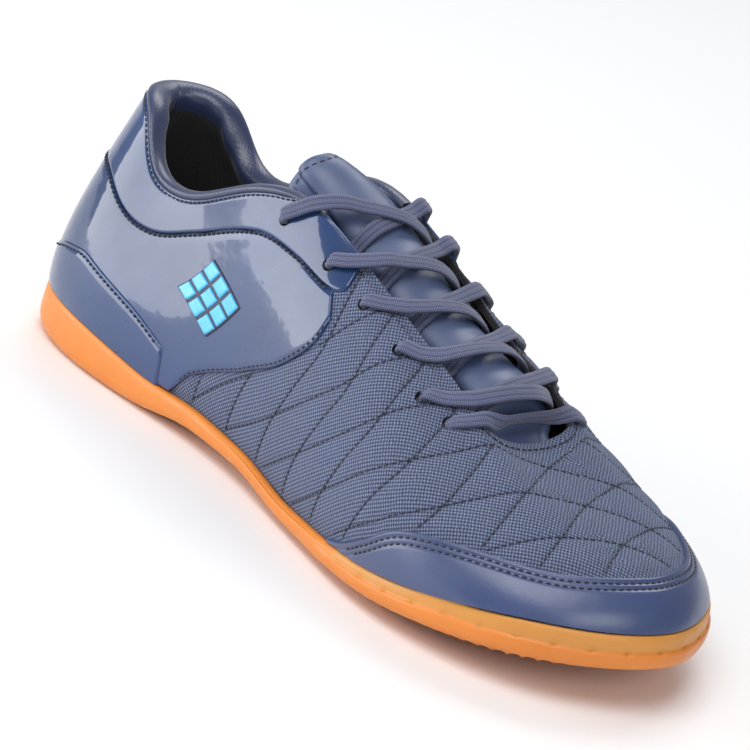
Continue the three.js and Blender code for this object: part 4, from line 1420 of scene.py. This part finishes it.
def lace_piece(name, parts, node):
    points, faces = merged([part[:2] for part in parts])
    values = {key: np.concatenate([part[k] for part in parts]) for k, key in ((2, "flat"), (3, "rib"))}
    place_piece(make_object(name, points, faces, [LACE], values=values), "lace", node)


# Insole


def build_insole():
    q = np.linspace(0, AROUND, 241)[:-1]
    edge, _ = outline(q, LIP_WIDTH + UPPER_WALL + 2 * CLEAR)
    middle_x = np.clip(edge[:, 0], 45 - HEEL_SEAT, LENGTH - HEEL_SEAT - 40)
    middle = np.stack([middle_x, np.interp(middle_x, [-10, 80, 190], [-1.0, -2.0, 4.0])], -1)
    # The cup rises round the heel and fades out towards the ball
    cup = 1.6 * (1 - smooth((edge[:, 0] - 70) / 60))
    columns = [np.column_stack([edge, tray_height(edge[:, 0]) + CLEAR])]
    for inwards in (0.0, 0.03, 0.1, 0.25, 0.5, 0.75, 1.0):
        spot = lerp(edge, middle, inwards)
        z = tray_height(spot[:, 0]) + CLEAR + INSOLE_THICKNESS * min(1.0, 0.75 + inwards * 8)
        z += cup * (1 - smooth(inwards / 0.5)) * (inwards > 0)
        columns.append(np.column_stack([spot, z]))
    grid = np.stack(columns, 1)
    count, cols = grid.shape[:2]
    caps = []
    for loop in ([k * cols + cols - 1 for k in range(count)], [k * cols for k in range(count)][::-1]):
        for k in range(count // 2):
            corners = (loop[k], loop[(k + 1) % count], loop[count - 1 - k], loop[(count - k) % count])
            caps.append(list(dict.fromkeys(corners)))
    caps = [face for face in caps if len(face) > 2]
    faces = grid_faces(count, cols, True).tolist() + caps
    place_piece(make_object("insole_footbed", grid.reshape(-1, 3), faces, [INSOLE]), "insole_cloth", "insole")


# Sole: side wall with its stepped band, and the tread as relief


def ridges(f, groove=0.42):
    """Depth share of grooves that lie at whole values of f."""
    distance = np.abs(f - np.round(f))
    return 1 - smooth((distance - groove / 2 + 0.07) / 0.14)


def tread_depth(x, y):
    """Depth of the tread's grooves: diamonds round the ball, ribs at toe and waist, chevrons at the heel."""
    s = share(x)
    across = y / BALL_WIDTH
    # Rings of diamonds at the ball, with half diamonds at its edges
    ball_at, ball_across, ball_rings, cell = 0.72, 0.02, 9.5, 0.035
    aside = np.abs(across - ball_across)
    rings = np.abs(s - ball_at) / 0.015 + aside / cell
    edges = [np.abs(s - at) / 0.0135 + np.abs(aside - out) / cell for at, out in ((0.66, 0.50), (0.79, 0.52))]
    depth = np.where(rings < ball_rings, ridges(rings), ridges(np.minimum(*edges)))
    depth = np.maximum(depth, np.abs(rings - ball_rings) < 0.3)
    # Slanted ribs at the waist, on both sides of a spine and round a plate
    middle = np.abs(across + 0.034)
    waist = ridges((s - 0.16 * middle - 0.42) / 0.0165)
    waist = np.where(np.abs(middle - 0.05) < 0.012, 1, np.where(middle < 0.035, 0, waist))
    plate = np.maximum(np.abs(s - 0.505) / 0.062, middle / 0.10)
    waist = np.where(plate < 1.0, np.where((plate > 0.80) & (plate < 0.90), 0.6, 0.0), waist)
    waist = np.where((plate >= 1.0) & (plate < 1.13), 1, waist)
    toe = ridges((s - 0.2 * (across - 0.06) ** 2 - 0.885) / 0.0135)
    # Chevrons under the heel
    slant = np.abs(across + 0.022) / 0.24
    heel_front = ridges((s - 0.10 * slant - 0.26) / 0.0165)
    heel_back = ridges((s - 0.077 * slant - 0.055) / 0.015)
    flex = s + 0.45 * np.abs(across + 0.01)
    waist_end, heel_end = 0.655, 0.36
    for here, pattern in (
        (s > 0.872, toe),
        (flex < waist_end, waist),
        (np.abs(flex - waist_end) < 0.006, 1),
        (s < heel_end, heel_front),
        (s < 0.245, heel_back),
        (np.abs(s - heel_end) < 0.005, 1),
    ):
        depth = np.where(here, pattern, depth)
    return depth


def build_sole():
    q = np.linspace(0, AROUND, 721)[:-1]
    side = np.minimum(q, AROUND - q)
    forefoot = smooth((side - 6.6) / 1.2)
    # The underside draws in where the sole is thin, from the waist to the toe
    thin = smooth((side - 3.4) / 1.4)
    step = BAND_DEPTH * forefoot
    widest = widest_height(q)
    rim = rim_height(q) + LIP_WAVE_HEIGHT * valley(side - LIP_WAVE, 0.3)
    band = lerp(widest, rim, 0.35)
    turns = 2 * math.pi * walked(outline(q)[0])
    scallop = smooth((side - 6.9) / 0.8) * (0.5 + 0.5 * np.cos(turns / SCALLOP))
    notch = forefoot * np.maximum(np.cos(turns / NOTCH), 0) ** 12

    def at(inset, height):
        spot, _ = outline(q, inset)
        return np.column_stack([spot, tread_height(spot[:, 0]) + height])

    lip_share = share_at_rim(q, 0)
    lip = skin(q, lip_share, CLEAR * 0.4)
    lip[:, 2] = tread_height(lip[:, 0]) + rim
    tray, _ = outline(q, LIP_WIDTH - CLEAR)
    tray = np.column_stack([tray, tray_height(tray[:, 0])])
    profile = [
        at(5.0 + 5.5 * thin, 0.0),
        at(3.4 + 4.6 * thin + 1.0 * scallop, 0.02 + 0.30 * thin + 0.9 * scallop),
        at(2.0 + 3.0 * thin + 0.9 * scallop, (0.18 + 0.10 * thin) * widest + 0.8 * scallop),
        at(1.1 + 1.3 * thin + 0.5 * scallop, (0.36 + 0.10 * thin) * widest + 0.4 * scallop),
        at(0.5 + 0.12 * scallop, 0.60 * widest),
        at(0.12, 0.82 * widest),
        at(0.0, widest),
        at(0.02, lerp(widest, band, 0.6)),
        at(0.10 + 0.15 * step, band - 0.05),
        at(0.10 + step + 0.7 * notch, band + 0.25 - 0.9 * notch),
        at(0.16 + step, band + 0.7),
        at(0.35 + step, lerp(band, rim, 0.6)),
        at(0.62 + step, rim - 0.7),
        at(0.95 + step, rim - 0.22),
        at(1.35 + step, rim + 0.05),
        lerp(at(1.5 + step, rim + 0.08), lip, 0.6),
        lip,
        skin(q, lip_share * 0.5, CLEAR),
        tray,
    ]
    band_from = 9
    wall = np.stack(profile, 1)
    bottom = wall[:, 0, :2]
    centre = (bottom + bottom[-np.arange(len(q))]) / 2
    spine = centre[: len(q) // 2 + 1]
    spine = spine[np.argsort(spine[:, 0])]
    centre[:, 0] = np.clip(centre[:, 0], 36 - HEEL_SEAT, LENGTH - HEEL_SEAT - 40)
    centre[:, 1] = np.interp(centre[:, 0], spine[:, 0], spine[:, 1])
    rings = 66
    parts = np.linspace(1, 0, rings + 1)[:-1]
    spots = lerp(bottom[:, None], centre[:, None], parts[None, :, None])
    inner = smooth(np.linalg.norm(spots - bottom[:, None], axis=-1) - 1.0)
    depth = tread_depth(spots[..., 0], spots[..., 1]) * inner * GROOVE_DEPTH
    floor = np.concatenate([spots, (tread_height(spots[..., 0]) + depth)[..., None]], -1)
    tray_middle = np.stack([lerp(tray[:, :2], centre, part) for part in (0.5, 1.0)], 1)
    top = np.concatenate([tray_middle, tray_height(tray_middle[..., 0])[..., None]], -1)
    grid = np.concatenate([floor, wall, top], 1)
    count, cols = grid.shape[:2]
    faces = grid_faces(count, cols, True)
    lowest = (faces % cols).min(axis=1)
    is_lip = (lowest >= rings + band_from) & (lowest < rings + len(profile) - 1)
    is_lip &= forefoot[faces[:, 0] // cols] > 0.5
    obj = make_object("gum_sole", grid.reshape(-1, 3), faces, [GUM, GUM_LIP], is_lip.astype(int))
    weld(obj, 0.002)
    place_piece(obj, "gum_rubber", "outsole")


def weld(obj, distance):
    """Joins points that lie together, as where both halves of a floor meet."""
    made = bmesh.new()
    made.from_mesh(obj.data)
    bmesh.ops.remove_doubles(made, verts=made.verts, dist=distance * MM)
    bmesh.ops.dissolve_degenerate(made, edges=made.edges, dist=1e-7)
    made.to_mesh(obj.data)
    made.free()


# Badge: a plain lattice of small raised tiles


def build_badge():
    centre_q, centre_v = 4.55, 0.53
    wall = np.linalg.norm(shell_point(centre_q, 0.7) - shell_point(centre_q, 0.4)) / 0.3
    around = np.linalg.norm(shell_point(centre_q + 0.5, centre_v) - shell_point(centre_q - 0.5, centre_v))
    near = SKIN_GAP + OVERLAY_WALL
    half = BADGE_SIZE / 2

    def place(a, b, off):
        along = BADGE_STRETCH * (a + b) * half / 2
        up = (b - a) * half / 2
        return skin(centre_q + along / around, centre_v + up / wall, off)

    def tile(low_a, low_b, wide, bottom, top, radius):
        shares = clustered(7, 0.25)
        a, b = np.meshgrid(low_a + wide * shares, low_b + wide * shares, indexing="ij")
        to_end = np.minimum(shares, 1 - shares)
        edge = np.minimum(to_end[:, None], to_end[None, :]) * wide * half * 0.7
        height = lerp(bottom, top, roll(edge, radius))
        return sheet_body(place(a, b, height), place(a, b, bottom - 0.25))[:2]

    pitch = 2 / 3
    parts = [tile(-1, -1, 2, near, near + 0.4, 0.5)]
    ground_count = len(parts[0][1])
    for i in range(3):
        for j in range(3):
            low_a, low_b = -1 + (i + 0.09) * pitch, -1 + (j + 0.09) * pitch
            parts.append(tile(low_a, low_b, 0.82 * pitch, near + 0.35, near + 0.95, 0.45))
    points, faces = merged(parts)
    marks = [0] * ground_count + [1] * (len(faces) - ground_count)
    obj = make_object("badge_lattice", points, faces, [BADGE_GROUND, TILE], marks)
    place_piece(obj, "badge", "badge_lateral")


# Everything in place

build_upper()
panel_threads = build_toe_guard() + build_quarter() + build_collar_panel() + build_counter()
build_collar()
tongue_threads = build_tongue()
build_laces()
build_insole()
build_sole()
build_badge()

for piece, slot_name, parts in (
    ("panel_stitches", "synthetic", panel_threads),
    ("quilt_stitches", "canvas", build_throat_stitches() + build_quilt_threads()),
    ("tongue_stitches", "tongue_synthetic", tongue_threads),
):
    place_piece(make_object(piece, *merged(parts), [DARK_THREAD]), slot_name)


# Floor, light and camera


def plain_floor():
    finish = Finish("studio_floor", (0.92, 0.92, 0.92), 0.6)
    finish.color(finish.mix(finish.noise(3, 2), (0.90, 0.90, 0.905), (0.94, 0.94, 0.94)))
    size = 6000.0
    points = [(-size, -size, 0), (size, -size, 0), (size, size, 0), (-size, size, 0)]
    floor = make_object("studio_floor", points, [[0, 1, 2, 3]], [finish.material])


def direction(azimuth, elevation):
    """Unit vector from the shoe towards a lamp or the camera; angles in degrees."""
    a, e = math.radians(azimuth), math.radians(elevation)
    return Vector((math.sin(a) * math.cos(e), -math.cos(a) * math.cos(e), math.sin(e)))


def area_light(name, azimuth, elevation, distance, size, power):
    data = bpy.data.lights.new(name, "AREA")
    data.shape = "RECTANGLE"
    data.size, data.size_y = size
    data.energy = power
    light = bpy.data.objects.new(name, data)
    back = direction(azimuth, elevation)
    light.location = Vector((0.09, 0, 0.04)) + back * distance
    light.rotation_mode = "QUATERNION"
    light.rotation_quaternion = back.to_track_quat("Z", "Y")
    bpy.context.scene.collection.objects.link(light)


def camera():
    """The photo's camera: its angles and distance, moved on to bring the whole shoe in."""
    azimuth, elevation, roll_angle = 45.7, 21.5, math.radians(15.6)
    distance, aimed_at, shift = 1200, (90, 0, 40), (14, -10)
    photo_scale, frame_width, zoom = 2.223, 750, 1.5
    back = direction(azimuth, elevation)
    across = Vector((0, 0, 1)).cross(back).normalized()
    up = back.cross(across)
    right = across * math.cos(roll_angle) + up * math.sin(roll_angle)
    upward = up * math.cos(roll_angle) - across * math.sin(roll_angle)
    target = (Vector(aimed_at) + (right * shift[0] + upward * shift[1]) / photo_scale) * MM
    data = bpy.data.cameras.new("camera")
    data.sensor_width = 36
    data.lens = photo_scale * zoom * distance / frame_width * data.sensor_width
    data.clip_start, data.clip_end = 0.05, 50
    made = bpy.data.objects.new("camera", data)
    made.matrix_world = Matrix((right, upward, back)).transposed().to_4x4()
    made.location = target + back * distance * MM
    bpy.context.scene.collection.objects.link(made)
    bpy.context.scene.camera = made


def world():
    sky = bpy.data.worlds.new("studio")
    sky.use_nodes = True
    sky.node_tree.nodes["Background"].inputs["Color"].default_value = (0.95, 0.97, 1.0, 1)
    sky.node_tree.nodes["Background"].inputs["Strength"].default_value = 0.25
    bpy.context.scene.world = sky
    bpy.context.scene.view_settings.view_transform = "Standard"


plain_floor()
world()
area_light("key", 20, 62, 1.3, (1.0, 0.8), 10)
area_light("softbox", -42, 12, 1.4, (1.2, 0.95), 15)
area_light("side", 75, 28, 1.4, (0.7, 0.5), 4)
area_light("back", 215, 50, 1.3, (0.9, 0.6), 7)
camera()
